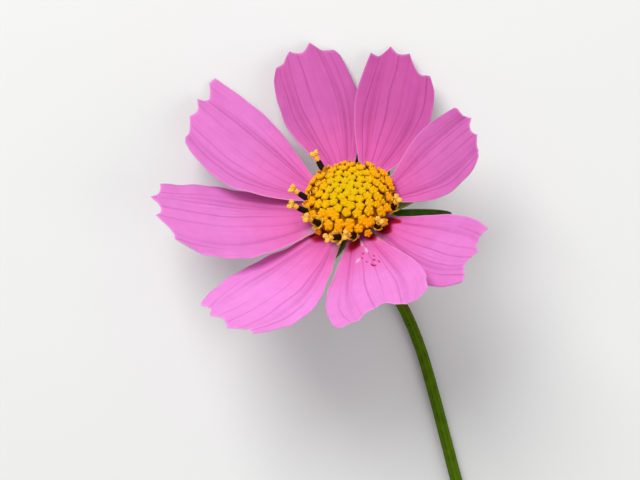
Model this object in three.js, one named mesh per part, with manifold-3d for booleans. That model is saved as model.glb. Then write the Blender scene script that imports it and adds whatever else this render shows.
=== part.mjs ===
// A picked garden cosmos: one flower head with eight ray petals on its bent stem, lying on a surface.
// Millimetres, +Z up.  The surface is z = 0; the petal tips on the low side and the stem rest on it.

import * as THREE from 'three';
import { mergeVertices } from 'three/addons/utils/BufferGeometryUtils.js';
import Module from 'manifold-3d';

const wasm = await Module();
wasm.setup();

const { sin, cos, abs, max, min, pow, sqrt, PI } = Math;
const DEGREE = PI / 180;
const TURN = 2 * PI;

// ---------------------------------------------------------------- driving dimensions

const HEAD_AT = new THREE.Vector3(1.7, 32.2, 15.8); // middle of the petal ring above the surface
const HEAD_TILT = 38;       // degrees between the head's axis and upright
const HEAD_LEAN = 106;      // degrees, the way the face leans, turned from +X towards +Y

const BLADE = 0.6;          // thickness of petals and bracts
const CLEARANCE = 0.35;     // between pieces that touch on the living flower

const RING_RADIUS = 4.2;    // where the petals leave the receptacle
const PETAL_CLAW = 0.13;    // width at the base as a share of the widest
const PETAL_WIDEST = 0.7;   // how far along the petal it is widest
const PETAL_SWELL = 1.5;    // how late the claw swells into the blade
const PETAL_ARCH = 0.5;     // how far the middle panel arches above the folds
const FOLD_AT = 0.55;       // place of the two folds, 0 middle, 1 edge
const FOLDS_BY = 0.45;      // how far along the petal the folds have their full depth
const TWIST_AT_BASE = 0.4;  // share of the twist that the claw already has
const TWIST_BY = 0.33;      // how far along the petal the twist is whole
const CORNER_POWER = 3.2;   // how square the corners of a petal's end are
const TOOTH_POWER = 1.6;    // how pointed its teeth are
const PETAL_STEPS = 12;     // divisions along a petal
const TOOTH_GRAIN = 0.26;   // widest division across a petal, of its half width
const FINEST_GRAIN = 0.06;  // narrowest

const DISC_RADIUS = 7.8;    // rim of the dome that carries the florets
const DISC_RIM = 2.4;       // height of that rim over the petal ring
const DISC_TOP = 5.6;       // height of the dome's top
const DISC_FOOT = 3.75;     // radius of the foot inside the petal ring
const DISC_FOOT_TOP = 0.8;  // height of the foot over the petal ring
const DISC_LIP = 0.2;       // the rim's rounded under edge
const DOME_STEPS = [1, 0.83, 0.6, 0.31, 0];  // rings of the dome, shares of its radius
const DOME_SIDES = 20;
const BUD_COUNT = 68;
const BUD_ZONE = 6.7;       // radius the closed florets fill
const BUD_RADIUS = 0.84;
const BUD_HEIGHT = 0.95;
const BUD_LEAN = 50;        // degrees, outermost buds
const BUD_CROWDING = 0.56;  // 0.5 spaces the buds evenly, more packs them in the middle
const BUD_SMALLEST = 0.8;   // size of the buds in the middle, shares of the outermost
const BUD_SPACE = 1.15;     // no bud stands nearer than this to an open floret or a large bud
const LARGE_BUD_SIZE = 1.05;
const TUBE_RADIUS = 0.42;   // an open floret's tube
const LOBES_RADIUS = 1.25;  // its spread lobes
const COLUMN_LENGTH = 1.08; // its anther column, before it lengthens
const STYLE_RADIUS = 0.95;  // the forked tip of the style
const STYLE_NECK = 1.4;     // how far that tip stands beyond the anther column
const FLORET_ROOT = -0.7;   // how deep florets stand in the dome

// The outermost florets are opening or in flower: azimuth, distance from the axis, lean outwards and
// sway sideways in degrees, how far the mouth of the tube stands out, and how far the floret has come,
// from 0, its mouth just open, to 1, the style out.
const OPEN_FLORETS = [
  [0, 7, 40, 0, 0, 0.2], [30, 6.5, 25, 0, 0, 0.2], [55, 7, 25, 0, 0, 0.2], [75, 6.5, 20, 0, 0, 0.2],
  [90, 7, 20, 0, 0, 0.2], [105, 6.5, 20, 0, 0, 0.2], [120, 7.5, 45, 0, 0, 0.2],
  [130, 7, 50, -5, 0.3, 1], [155, 6, 35, 0, 0, 0.2], [170, 6, 35, 0, 0, 0.2], [185, 7, 55, -25, 0, 1],
  [205, 7.5, 45, -20, 0.3, 1], [230, 7.5, 30, -10, 0.3, 1], [265, 8, 40, -25, 1.2, 1],
  [280, 8, 30, -25, 0.2, 0.8], [310, 8, 25, 0, 0, 0.8], [340, 8, 25, 5, 0.4, 0.8],
];

// Large closed florets between those: azimuth, distance from the axis and lean outwards in degrees.
const LARGE_BUDS = [
  [215, 7, 50], [245, 7, 50], [260, 6.5, 45], [275, 6.5, 45], [295, 6.5, 50], [325, 7, 50],
];

// Two rings of bracts under the petals, each on a hub of its own: how far a bract reaches from the axis,
// its width and its share of it at the base, the height it leaves the hub at, its turn in degrees, how
// far its tip droops, and the hub's radius and top.
const BRACTS = 8;
const BRACT_START = 2;      // inside the hub
const BRACT_STEPS = 6;
const BRACT_WIDEST = 0.76;  // how far along a bract it is widest
const BRACT_POINT = 0.06;   // width left at its tip
const BRACT_TROUGH = 0.12;  // lift of its edges, of its width
const HUB_SIDES = 24;
const INNER_BRACT = {
  reach: 12.2, width: 5.6, base: 0.62, level: -1.65, turn: 18, droop: 0.4, hubRadius: 4.9, hubTop: -0.75,
};
const OUTER_BRACT = {
  reach: 17.6, width: 2.5, base: 0.55, level: -2.85, turn: 4, droop: 1, hubRadius: 3.4, hubTop: -2.55,
};

const STEM_TOP_RADIUS = 2.5;   // receptacle
const STEM_NECK_RADIUS = 1.0;
const STEM_CUT_RADIUS = 1.25;  // at the cut end
const RECEPTACLE_LENGTH = 5;   // over which the stem swells into the receptacle
const STEM_START = [0, 1, 2.4];  // depths below the receptacle's top where the stem is still straight
const STEM_SIDES = 10;
const STEM_STEPS = 44;

// Each petal: the way it points, how long and wide it is, how steeply it rises from the head's plane at
// its base and at its tip, its twist, its sideways bend, the rounding and slant of its end, the width
// left at the end, where its teeth stand across the end, how deep each notch between them is, and how
// far each side lobe lifts: the right-hand side of a petal lies under its neighbour, so it droops there.
const PETALS = [
  { name: 'petal_1', azimuth: 18, length: 24, width: 14, rise: [14, 48], twist: 9, bend: -1,
    round: 0.1, slant: 0.05, end: 0.85, teeth: [-0.8, -0.2, 0.4, 0.9],
    notches: [1, 1, 1], lobes: [0.9, 1.1] },
  { name: 'petal_2', azimuth: 68, length: 30.5, width: 15, rise: [7, 8], twist: 9, bend: 3.5,
    round: 0.15, slant: 0.05, end: 0.9, teeth: [-0.8, -0.1, 0.5, 1],
    notches: [2.5, 1.5, 2], lobes: [0.2, 1] },
  { name: 'petal_3', azimuth: 105, length: 31.5, width: 15.5, rise: [12, 18], twist: 9, bend: 1.5,
    round: 0.15, slant: -0.05, end: 0.9, teeth: [-0.9, -0.3, 0.3, 0.8],
    notches: [1.5, 1.5, 1], lobes: [-0.5, 0.9] },
  { name: 'petal_4', azimuth: 152, length: 33, width: 18, rise: [2, 25], twist: 8, bend: -4.5,
    round: 0.05, slant: -0.05, end: 0.85, teeth: [-0.8, -0.2, 0.3, 0.9],
    notches: [2, 1, 1], lobes: [0.9, 0.9] },
  { name: 'petal_5', azimuth: 191, length: 32, width: 20.5, rise: [-3, 33], twist: 7, bend: -3,
    round: 0.1, slant: -0.03, end: 0.8, teeth: [-1, -0.4, 0.2, 0.9],
    notches: [1.5, 1.5, 2], lobes: [-0.5, 1] },
  { name: 'petal_6', azimuth: 238, length: 33.5, width: 20.5, rise: [-3, 36], twist: 8, bend: -1,
    round: 0.05, slant: 0.1, end: 0.8, teeth: [-0.9, -0.4, 0.3, 1],
    notches: [1.5, 1, 3], lobes: [-0.3, 0.9] },
  { name: 'petal_7', azimuth: 285, length: 32, width: 18, rise: [6, 40], twist: 9, bend: 0,
    round: 0, slant: 0.05, end: 0.85, teeth: [-0.9, 0.8],
    notches: [5], lobes: [0.9, 1.1] },
  { name: 'petal_8', azimuth: 323, length: 30.5, width: 14, rise: [2, 46], twist: 9, bend: -2,
    round: 0.05, slant: 0, end: 0.75, teeth: [-0.9, 0.1, 1],
    notches: [2.5, 3.5], lobes: [-0.5, 0.9] },
];

// The stem's middle line after its straight start along the head's axis, down to the surface and along it
// to the cut: x and y from the head's middle, height above the surface.
const STEM_COURSE = [
  [4, -9, 5.5], [7, -14, 2.7], [10, -18.5, 1.5], [13, -25.5, 1.1],
  [15, -32, 1.1], [20, -51, 1.15], [25, -70, 1.25], [29.5, -86, 1.3],
  [32, -96, 1.25],
];

// ---------------------------------------------------------------- materials

function finish(color, roughness) {
  return new THREE.MeshStandardMaterial({ color, roughness, metalness: 0 });
}

const PINK = finish(0xdb72bf, 0.6);
const YELLOW = finish(0xf2b01e, 0.7);
const PALE_GREEN = finish(0x8c9266, 0.65);
const GREEN = finish(0x4f6a24, 0.65);
const STEM_GREEN = finish(0x5d6e22, 0.6);

// ---------------------------------------------------------------- meshes from points

// An indexed, closed geometry from a list of Vector3 and a flat list of corner numbers.
function solid(points, corners) {
  const geometry = new THREE.BufferGeometry().setFromPoints(points);
  geometry.setIndex(corners);
  return geometry;
}

// A blade of even thickness around the middle surface at(u, v), u across from -1 to 1, v along from
// 0 to 1.  Both faces are split into triangles alike.
function bladeGeometry(at, across, steps) {
  const columns = across.length;
  const rows = steps + 1;
  const points = [[], []];
  const small = 1e-4;
  for (let row = 0; row < rows; row++) {
    for (const u of across) {
      const v = row / steps;
      const middle = at(u, v);
      const side = at(u + small, v).sub(at(u - small, v));
      const onward = at(u, v + small).sub(at(u, v - small));
      const normal = side.cross(onward).normalize().multiplyScalar(-BLADE / 2);
      points[0].push(middle.clone().sub(normal));
      points[1].push(middle.clone().add(normal));
    }
  }
  const back = points[0].length;
  const corners = [];
  for (let row = 0; row < steps; row++) {
    for (let column = 0; column < columns - 1; column++) {
      const a = row * columns + column;
      const b = a + 1;
      const c = a + columns;
      const d = c + 1;
      corners.push(a, b, c, b, d, c);
      corners.push(a + back, c + back, b + back, b + back, c + back, d + back);
    }
  }
  const rim = [];
  for (let column = 0; column < columns; column++) rim.push(column);
  for (let row = 1; row < rows; row++) rim.push(row * columns + columns - 1);
  for (let column = columns - 2; column >= 0; column--) rim.push(steps * columns + column);
  for (let row = steps - 1; row > 0; row--) rim.push(row * columns);
  rim.forEach((a, i) => {
    const b = rim[(i + 1) % rim.length];
    corners.push(a, a + back, b, b, a + back, b + back);
  });
  return solid(points.flat(), corners);
}

// A loft through rings of equal point counts, closed by a fan at each end.
function loft(rings) {
  const sides = rings[0].length;
  const points = rings.flat();
  const corners = [];
  for (let ring = 0; ring < rings.length - 1; ring++) {
    for (let i = 0; i < sides; i++) {
      const a = ring * sides + i;
      const b = ring * sides + (i + 1) % sides;
      corners.push(a, b, a + sides, b, b + sides, a + sides);
    }
  }
  const last = (rings.length - 1) * sides;
  for (let i = 1; i < sides - 1; i++) {
    corners.push(0, i + 1, i);
    corners.push(last, last + i, last + i + 1);
  }
  return solid(points, corners);
}

// A ring of points round the z axis; star pulls every second point in towards the axis.
function ring(sides, radius, height, star = 1, phase = 0) {
  return Array.from({ length: sides }, (_, i) => {
    const reach = i % 2 ? radius * star : radius;
    const angle = phase + i * TURN / sides;
    return new THREE.Vector3(reach * cos(angle), reach * sin(angle), height);
  });
}

function toManifold(geometry) {
  const bare = geometry.clone();
  bare.deleteAttribute('normal');
  bare.deleteAttribute('uv');
  const merged = mergeVertices(bare, 1e-5);
  return new wasm.Manifold(new wasm.Mesh({
    numProp: 3,
    vertProperties: new Float32Array(merged.attributes.position.array),
    triVerts: new Uint32Array(merged.index.array),
  }));
}

function fromManifold(body) {
  const mesh = body.getMesh();
  const geometry = new THREE.BufferGeometry();
  geometry.setAttribute('position', new THREE.BufferAttribute(mesh.vertProperties, 3));
  geometry.setIndex(new THREE.BufferAttribute(mesh.triVerts, 1));
  return geometry;
}

function fuse(geometries) {
  let body = toManifold(geometries[0]);
  for (const geometry of geometries.slice(1)) {
    body = body.add(toManifold(geometry));
  }
  return fromManifold(body);
}

function piece(name, geometry, material) {
  geometry.computeVertexNormals();
  const mesh = new THREE.Mesh(geometry, material);
  mesh.name = name;
  return mesh;
}

// ---------------------------------------------------------------- petals

// Half width along the petal, as a share of the widest: a narrow claw that swells to the widest place
// and draws in a little to the end.
function petalSpread(v, end) {
  const swell = min(max(v / PETAL_WIDEST, 0), 1);
  const past = max((v - PETAL_WIDEST) / (1 - PETAL_WIDEST), 0);
  return PETAL_CLAW + (1 - PETAL_CLAW) * pow(sin(PI / 2 * swell), PETAL_SWELL) - (1 - end) * past * past;
}

// How far out the end of the petal stands at u, in lengths: rounded corners, a slant, and notches
// between the teeth.
function petalReach({ teeth, notches, length, round, slant }, u) {
  let reach = 1 - round * pow(abs(u), CORNER_POWER) + slant * u;
  notches.forEach((depth, i) => {
    const off = abs(2 * (u - teeth[i]) / (teeth[i + 1] - teeth[i]) - 1);
    if (off < 1) reach -= depth / length * (1 - pow(off, TOOTH_POWER));
  });
  return reach;
}

// Cross section: an arched middle panel between two folds, and side lobes that lift from the folds.
function petalSection(petal, u) {
  const out = abs(u);
  const lobe = u < 0 ? petal.lobes[0] : petal.lobes[1];
  if (out > FOLD_AT) return lobe * (out - FOLD_AT) / (1 - FOLD_AT);
  return PETAL_ARCH * (1 - (out / FOLD_AT) ** 2);
}

// A point of the petal's middle surface in the head's frame.
function petalPoint(petal, u, v) {
  const along = v * petalReach(petal, u);
  const start = petal.rise[0] * DEGREE;
  const change = (petal.rise[1] - petal.rise[0]) * DEGREE;
  const slope = start + change * along;
  const out = RING_RADIUS + petal.length * (sin(slope) - sin(start)) / change;
  const up = petal.length * (cos(start) - cos(slope)) / change;
  const azimuth = petal.azimuth * DEGREE;
  const outward = new THREE.Vector3(cos(azimuth), sin(azimuth), 0);
  const sideways = new THREE.Vector3(-sin(azimuth), cos(azimuth), 0);
  const upward = new THREE.Vector3(0, 0, 1);
  const facing = outward.clone().multiplyScalar(-sin(slope)).addScaledVector(upward, cos(slope));
  const grown = TWIST_AT_BASE + (1 - TWIST_AT_BASE) * min(1, max(along, 0) / TWIST_BY);
  const twist = petal.twist * DEGREE * grown;
  const across = sideways.clone().multiplyScalar(cos(twist)).addScaledVector(facing, sin(twist));
  const normal = facing.clone().multiplyScalar(cos(twist)).addScaledVector(sideways, -sin(twist));
  const half = petal.width / 2 * petalSpread(v, petal.end);
  const folded = petalSection(petal, u) * min(1, max(along, 0) / FOLDS_BY);
  return new THREE.Vector3()
    .addScaledVector(outward, out)
    .addScaledVector(upward, up)
    .addScaledVector(across, u * half + petal.bend * along * along)
    .addScaledVector(normal, folded);
}

// Division lines across the petal: its edges, folds, teeth and the notches between the teeth, with
// wide strips halved.
function petalColumns({ teeth }) {
  const marks = [-1, -FOLD_AT, 0, FOLD_AT, 1, ...teeth];
  for (let i = 0; i < teeth.length - 1; i++) marks.push((teeth[i] + teeth[i + 1]) / 2);
  marks.sort((a, b) => a - b);
  const columns = [marks[0]];
  for (const mark of marks.slice(1)) {
    const from = columns[columns.length - 1];
    if (mark - from < FINEST_GRAIN && mark < 1) continue;
    const parts = Math.ceil((mark - from) / TOOTH_GRAIN);
    for (let i = 1; i <= parts; i++) columns.push(from + (mark - from) * i / parts);
  }
  return columns;
}

function buildPetal(petal) {
  const at = (u, v) => petalPoint(petal, u, v);
  return piece(petal.name, bladeGeometry(at, petalColumns(petal), PETAL_STEPS), PINK);
}

// ---------------------------------------------------------------- disc

// Height of the dome at a distance from the axis: part of an ellipse a little wider than the rim.
function domeHeight(radius) {
  const span = DISC_RADIUS + DISC_LIP;
  return DISC_RIM + (DISC_TOP - DISC_RIM) * sqrt(max(0, 1 - (radius / span) ** 2));
}

function discCore() {
  const seat = INNER_BRACT.hubTop + CLEARANCE;
  const profile = [
    new THREE.Vector2(0, seat),
    new THREE.Vector2(DISC_FOOT, seat),
    new THREE.Vector2(DISC_FOOT, DISC_FOOT_TOP),
    new THREE.Vector2(DISC_RADIUS - DISC_LIP, DISC_RIM - DISC_LIP),
  ];
  for (const share of DOME_STEPS) {
    const radius = share * DISC_RADIUS;
    profile.push(new THREE.Vector2(radius, domeHeight(radius)));
  }
  return new THREE.LatheGeometry(profile, DOME_SIDES).rotateX(PI / 2);
}

// Stands a shape made along +z on the dome, leaning outwards and swaying sideways by degrees.
function standOnDome(geometry, azimuth, radius, lean, sway = 0) {
  const tilt = new THREE.Euler(-sway * DEGREE, lean * DEGREE, azimuth, 'ZYX');
  const place = new THREE.Vector3(radius * cos(azimuth), radius * sin(azimuth), domeHeight(radius));
  return geometry.applyQuaternion(new THREE.Quaternion().setFromEuler(tilt)).translate(...place);
}

// A closed floret: a five-sided knob that narrows to its tip.
function bud(size) {
  const widest = BUD_RADIUS * size;
  const height = BUD_HEIGHT * size;
  return loft([
    ring(5, 0.6 * widest, FLORET_ROOT * size),
    ring(5, widest, 0.45 * height),
    ring(5, 0.8 * widest, 0.8 * height),
    ring(5, 0.35 * widest, height),
  ]);
}

// An open floret: a tube with five spread lobes, the anther column in it, and the forked style tip.
function openFloret(tube, stage) {
  const top = tube + COLUMN_LENGTH * (1 + 1.2 * stage);
  const lobes = loft([
    ring(10, TUBE_RADIUS, FLORET_ROOT),
    ring(10, LOBES_RADIUS, tube + 0.65, 0.55),
    ring(10, 0.4 * LOBES_RADIUS, tube + 0.45),
  ]);
  const anthers = loft([ring(5, TUBE_RADIUS, tube), ring(5, TUBE_RADIUS, top)]);
  if (stage <= 0.5) return [lobes, anthers];
  const style = loft([
    ring(6, 0.35 * STYLE_RADIUS, top - 0.3),
    ring(6, 0.35 * STYLE_RADIUS, top + STYLE_NECK - 0.5),
    ring(6, STYLE_RADIUS, top + STYLE_NECK, 0.6),
    ring(6, 0.4 * STYLE_RADIUS, top + STYLE_NECK + 0.35),
  ]);
  return [lobes, anthers, style];
}

// Azimuth, distance from the axis, lean and size of each closed floret: the large ones, and others set in
// spirals at the golden angle wherever there is room.
function budPlaces() {
  const goldenAngle = PI * (3 - sqrt(5));
  const places = LARGE_BUDS.map(([azimuth, radius, lean]) => (
    [azimuth * DEGREE, radius, lean, LARGE_BUD_SIZE]
  ));
  for (let i = 0; i < BUD_COUNT; i++) {
    const share = pow((i + 0.6) / BUD_COUNT, BUD_CROWDING);
    const azimuth = i * goldenAngle;
    const radius = BUD_ZONE * share;
    const crowded = [...OPEN_FLORETS, ...LARGE_BUDS].some(([otherAzimuth, otherRadius]) => {
      const apart = azimuth - otherAzimuth * DEGREE;
      const square = radius ** 2 + otherRadius ** 2 - 2 * radius * otherRadius * cos(apart);
      return square < BUD_SPACE ** 2;
    });
    const size = BUD_SMALLEST + (1 - BUD_SMALLEST) * share;
    if (!crowded) places.push([azimuth, radius, BUD_LEAN * share ** 2, size]);
  }
  return places;
}

function buildDisc() {
  const parts = [discCore()];
  for (const [azimuth, radius, lean, size] of budPlaces()) {
    parts.push(standOnDome(bud(size), azimuth, radius, lean));
  }
  for (const [azimuth, radius, lean, sway, tube, stage] of OPEN_FLORETS) {
    for (const part of openFloret(tube, stage)) {
      parts.push(standOnDome(part, azimuth * DEGREE, radius, lean, sway));
    }
  }
  return piece('disc', fuse(parts), YELLOW);
}

// ---------------------------------------------------------------- bracts

// Half width of a bract as a share of its widest: broad near the base, drawn out to a blunt point.
function bractSpread(v, base) {
  const swell = base + (1 - base) * sin(PI / 2 * min(1, v / BRACT_WIDEST));
  return max(BRACT_POINT, swell * sqrt(max(0, 1 - v ** 3)));
}

function bractGeometry({ reach, width, base, level, droop }, azimuth) {
  const at = (u, v) => {
    const out = BRACT_START + (reach - BRACT_START) * v;
    const spread = bractSpread(v, base);
    const side = u * width / 2 * spread;
    const height = level - droop * v * v + BRACT_TROUGH * width * u * u * spread;
    return new THREE.Vector3(
      out * cos(azimuth) - side * sin(azimuth),
      out * sin(azimuth) + side * cos(azimuth),
      height,
    );
  };
  return bladeGeometry(at, [-1, 0, 1], BRACT_STEPS);
}

function buildBracts(name, kind, material) {
  const bottom = kind.level - BLADE / 2;
  const hub = new THREE.CylinderGeometry(kind.hubRadius, kind.hubRadius, kind.hubTop - bottom, HUB_SIDES);
  hub.rotateX(PI / 2);
  hub.translate(0, 0, (kind.hubTop + bottom) / 2);
  const parts = [hub];
  for (let i = 0; i < BRACTS; i++) {
    parts.push(bractGeometry(kind, (kind.turn + i * 360 / BRACTS) * DEGREE));
  }
  return piece(name, fuse(parts), material);
}

// ---------------------------------------------------------------- stem

function headTurn() {
  const hinge = new THREE.Vector3(-sin(HEAD_LEAN * DEGREE), cos(HEAD_LEAN * DEGREE), 0);
  return new THREE.Quaternion().setFromAxisAngle(hinge, HEAD_TILT * DEGREE);
}

function buildStem() {
  const axis = new THREE.Vector3(0, 0, 1).applyQuaternion(headTurn());
  const top = OUTER_BRACT.level - BLADE / 2 - CLEARANCE;
  const points = STEM_START.map((depth) => HEAD_AT.clone().addScaledVector(axis, top - depth));
  for (const [x, y, z] of STEM_COURSE) points.push(new THREE.Vector3(HEAD_AT.x + x, HEAD_AT.y + y, z));
  const course = new THREE.CatmullRomCurve3(points, false, 'centripetal');
  const length = course.getLength();
  const frames = course.computeFrenetFrames(STEM_STEPS, false);
  const rings = [];
  for (let i = 0; i <= STEM_STEPS; i++) {
    const share = i / STEM_STEPS;
    const middle = course.getPointAt(share);
    const neck = STEM_NECK_RADIUS + (STEM_CUT_RADIUS - STEM_NECK_RADIUS) * share;
    const swell = max(0, 1 - length * share / RECEPTACLE_LENGTH) ** 2;
    const radius = neck + (STEM_TOP_RADIUS - neck) * swell;
    rings.push(Array.from({ length: STEM_SIDES }, (_, side) => {
      const angle = side * TURN / STEM_SIDES;
      return middle.clone()
        .addScaledVector(frames.normals[i], radius * cos(angle))
        .addScaledVector(frames.binormals[i], radius * sin(angle));
    }));
  }
  return piece('stem', loft(rings), STEM_GREEN);
}

// ---------------------------------------------------------------- assembly

const head = new THREE.Group();
head.position.copy(HEAD_AT);
head.quaternion.copy(headTurn());
for (const petal of PETALS) head.add(buildPetal(petal));
head.add(buildDisc());
head.add(buildBracts('inner_bracts', INNER_BRACT, PALE_GREEN));
head.add(buildBracts('outer_bracts', OUTER_BRACT, GREEN));

const flower = new THREE.Group();
flower.add(head);
flower.add(buildStem());

export default flower;
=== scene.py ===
# The looks of a picked garden cosmos: fine petals, florets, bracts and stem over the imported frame.
# Shapes are worked out in millimetres as whole arrays, and become metres where they are made meshes.
# A shape's array holds one row of numbers for each point: x, y and z, then what the piece's own
# material reads there, such as how far along the petal the point is.

from math import pi, radians

import bpy
import numpy as np
from mathutils import Matrix, Vector


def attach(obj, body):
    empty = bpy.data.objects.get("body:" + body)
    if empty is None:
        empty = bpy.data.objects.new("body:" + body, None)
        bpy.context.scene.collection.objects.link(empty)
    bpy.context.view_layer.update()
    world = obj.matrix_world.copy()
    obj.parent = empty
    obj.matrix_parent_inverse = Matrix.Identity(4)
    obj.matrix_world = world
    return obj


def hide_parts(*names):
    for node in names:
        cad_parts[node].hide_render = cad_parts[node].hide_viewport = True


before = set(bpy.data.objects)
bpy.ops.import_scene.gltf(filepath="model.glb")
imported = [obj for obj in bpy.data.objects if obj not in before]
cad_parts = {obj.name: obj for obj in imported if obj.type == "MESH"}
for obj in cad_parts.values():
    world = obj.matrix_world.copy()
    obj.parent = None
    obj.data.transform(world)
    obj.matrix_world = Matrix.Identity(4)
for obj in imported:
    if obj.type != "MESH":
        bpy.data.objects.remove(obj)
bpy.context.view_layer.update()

MM = 0.001
TURN = 2 * pi
GOLDEN_ANGLE = pi * (3 - 5 ** 0.5)

# ---------------------------------------------------------------- driving dimensions, millimetres

HEAD_AT = np.array([1.7, 32.2, 15.8])  # middle of the petal ring
HEAD_TILT = radians(38)     # between the head's axis and upright
HEAD_LEAN = radians(106)    # the way the face leans

RING_RADIUS = 4.2           # where the petals leave the receptacle
PETAL_WIDEST = 0.7          # where a petal is widest, as a share of its length
PETAL_SWELL = 1.5           # power of the sine by which it widens
FOLD_AT = 0.55              # where its two long folds run, as a share of the half width
FOLDS_BY = 0.45             # share of the length by which they stand in full
PETAL_ARCH = 0.5            # height of the panel between them
CREASE_ROUND = 0.05         # share of the half width over which each crease is rounded
TWIST_AT_BASE = 0.4         # share of the twist that is there at the claw
TWIST_BY = 0.33             # share of the length by which it is whole
CORNER_POWER = 3.2          # how late the corners of the end turn down
TOOTH_POWER = 1.6           # how flat the hollows between its teeth are
END_RAGGED = 0.002          # fine unevenness of the end, in lengths
PETAL_THICK = 0.3           # in the middle of the petal
PETAL_EDGE = 0.1            # at its edge
THINS_OVER = 0.25           # share of the half width over which it thins
PETAL_GRID = (130, 90)      # divisions along and across
VEIN_PLACES = (-0.74, -0.33, -0.12, 0.1, 0.31, 0.76)  # grooves, as shares of the half width
VEIN_DEPTH = 0.05
FOLD_DEPTH = 0.12
PUCKER_HEIGHT = 0.07
RIPPLE_HEIGHT = 0.13        # of the margin
RELIEF_BY = 0.35            # share of the length by which these four stand in full

DISC_RADIUS = 7.8           # at the rim; the disc's heights are above the petal ring, on the head's axis
DISC_RIM = 2.4
DISC_TOP = 5.6
DISC_FOOT = 3.75            # radius of the foot
DISC_FOOT_TOP = 0.8
DISC_SEAT = -0.4            # underside of the foot
DISC_LIP = 0.2              # how far the dome is wider than the rim
CORE_SUNK = 0.12            # how far the ground lies under the dome that florets stand on
CORE_PIT = 0.08             # depth of its pits
BUD_COUNT = 68
BUD_ZONE = 6.7              # radius the closed florets fill
BUD_FIRST = 0.6             # where their row of numbers starts, so that the first stands off the axis
BUD_CROWDING = 0.56         # power of the number by which they stand further out
BUD_RADIUS = 0.98
BUD_HEIGHT = 1.05
BUD_SHOULDER = 0.45         # share of the height at which the shoulder starts
BUD_ROOT_WIDTH = 0.66       # share of the radius at the root
BUD_RIDGE = 0.16            # height of the five ridges on top
BUD_LEAN = radians(50)
BUD_SMALLEST = 0.8          # size in the middle of the disc
BUD_WARMTH = 0.9            # how far the colour has turned from the inner to the outer by the zone's edge
BUD_SPACE = 1.0             # no closed floret stands nearer than this to an open one
RIM_BUDS = 28               # a last round of them under the open florets
RIM_BUD_PLACE = 7.3
RIM_BUD_SCATTER = (0.3, 0.2)  # round the rim in places, and out from it
RIM_BUD_LEAN = radians(40)
RIM_BUD_SIZE = 0.88
RIM_BUD_SPACE = 0.8
SINGLE_WARMTH = 0.85
TUBE_FOOT = 0.46            # radius of an open floret's tube at the root
TUBE_MOUTH = 0.7            # and at the mouth
MOUTH_RISE = (0.3, 0.1)     # each of these four first for a closed floret, then for one in flower
LOBE_LENGTH = (0.62, 1.12)
LOBE_LEAN = (-0.85, 0.45)   # outwards at the mouth, in radians
LOBE_BEND = (-0.3, 0.6)     # and on from there to the tip
LOBE_THICK = 0.17
LOBE_RINGS = 10
FUNNEL_RINGS = 7
BORE_RINGS = 5
COLUMN_RADIUS = 0.54        # anther column
COLUMN_LENGTH = 1.08        # before it lengthens
STYLE_NECK = 1.4            # how far the forked tip stands beyond the column
STYLE_FORK = 0.45           # how far the fork lies under the neck's end
NECK_RADIUS = 0.36
ARM_RADIUS = 0.34
ARM_SWELL = 0.14            # how much thicker an arm is towards its end
ARM_ASIDE = 0.52            # half widths of the ellipse that it bends along
ARM_ABOVE = 0.6
FLORET_ROOT = -0.7          # how deep the florets are rooted under the dome
POLLEN_COUNT = 520
POLLEN_SIZE = (0.035, 0.07)
BRISTLE_COUNT = 46
BRISTLE_RADIUS = 0.065

BRACTS = 8
BRACT_START = 2.0           # distance from the axis where the blades leave the hub
BRACT_WIDEST = 0.76         # where a bract is widest, as a share of its length
BRACT_EDGE = 0.08           # thickness at the edge
BRACT_TROUGH = 0.12         # depth as a share of the width
BRACT_RIB = 0.03            # height of its long ribs
BRACT_RIPPLE = 0.06         # and of the ripples along it
HUB_DEPTH = 0.3             # how far the hub reaches under its blades
HUB_ROLL = 0.15             # rounding of its edges
HUB_BORE = 0.4              # radius of the ring that each of its ends closes from
STEM_TOP_RADIUS = 2.5
STEM_NECK_RADIUS = 1.0
STEM_CUT_RADIUS = 1.25
RECEPTACLE_LENGTH = 5
STEM_TOP = -3.5             # height of the receptacle's underside on the head's axis
STEM_START = (0, 1, 2.4)    # how far under it the points lie that the stem's line starts with
STEM_RIBS = 8
RIB_HEIGHT = 0.018          # share of the radius
RED_AT = 0.16               # share of the stem's length where the red tinge is strongest
RED_REACH = 0.14            # and how far it reaches to each side
CUT_RINGS = (0.93, 0.8, 0.5, 0.2)  # shares of the radius across the cut end
STEM_HAIRS = 420
HAIR_RADIUS = 0.035

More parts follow.
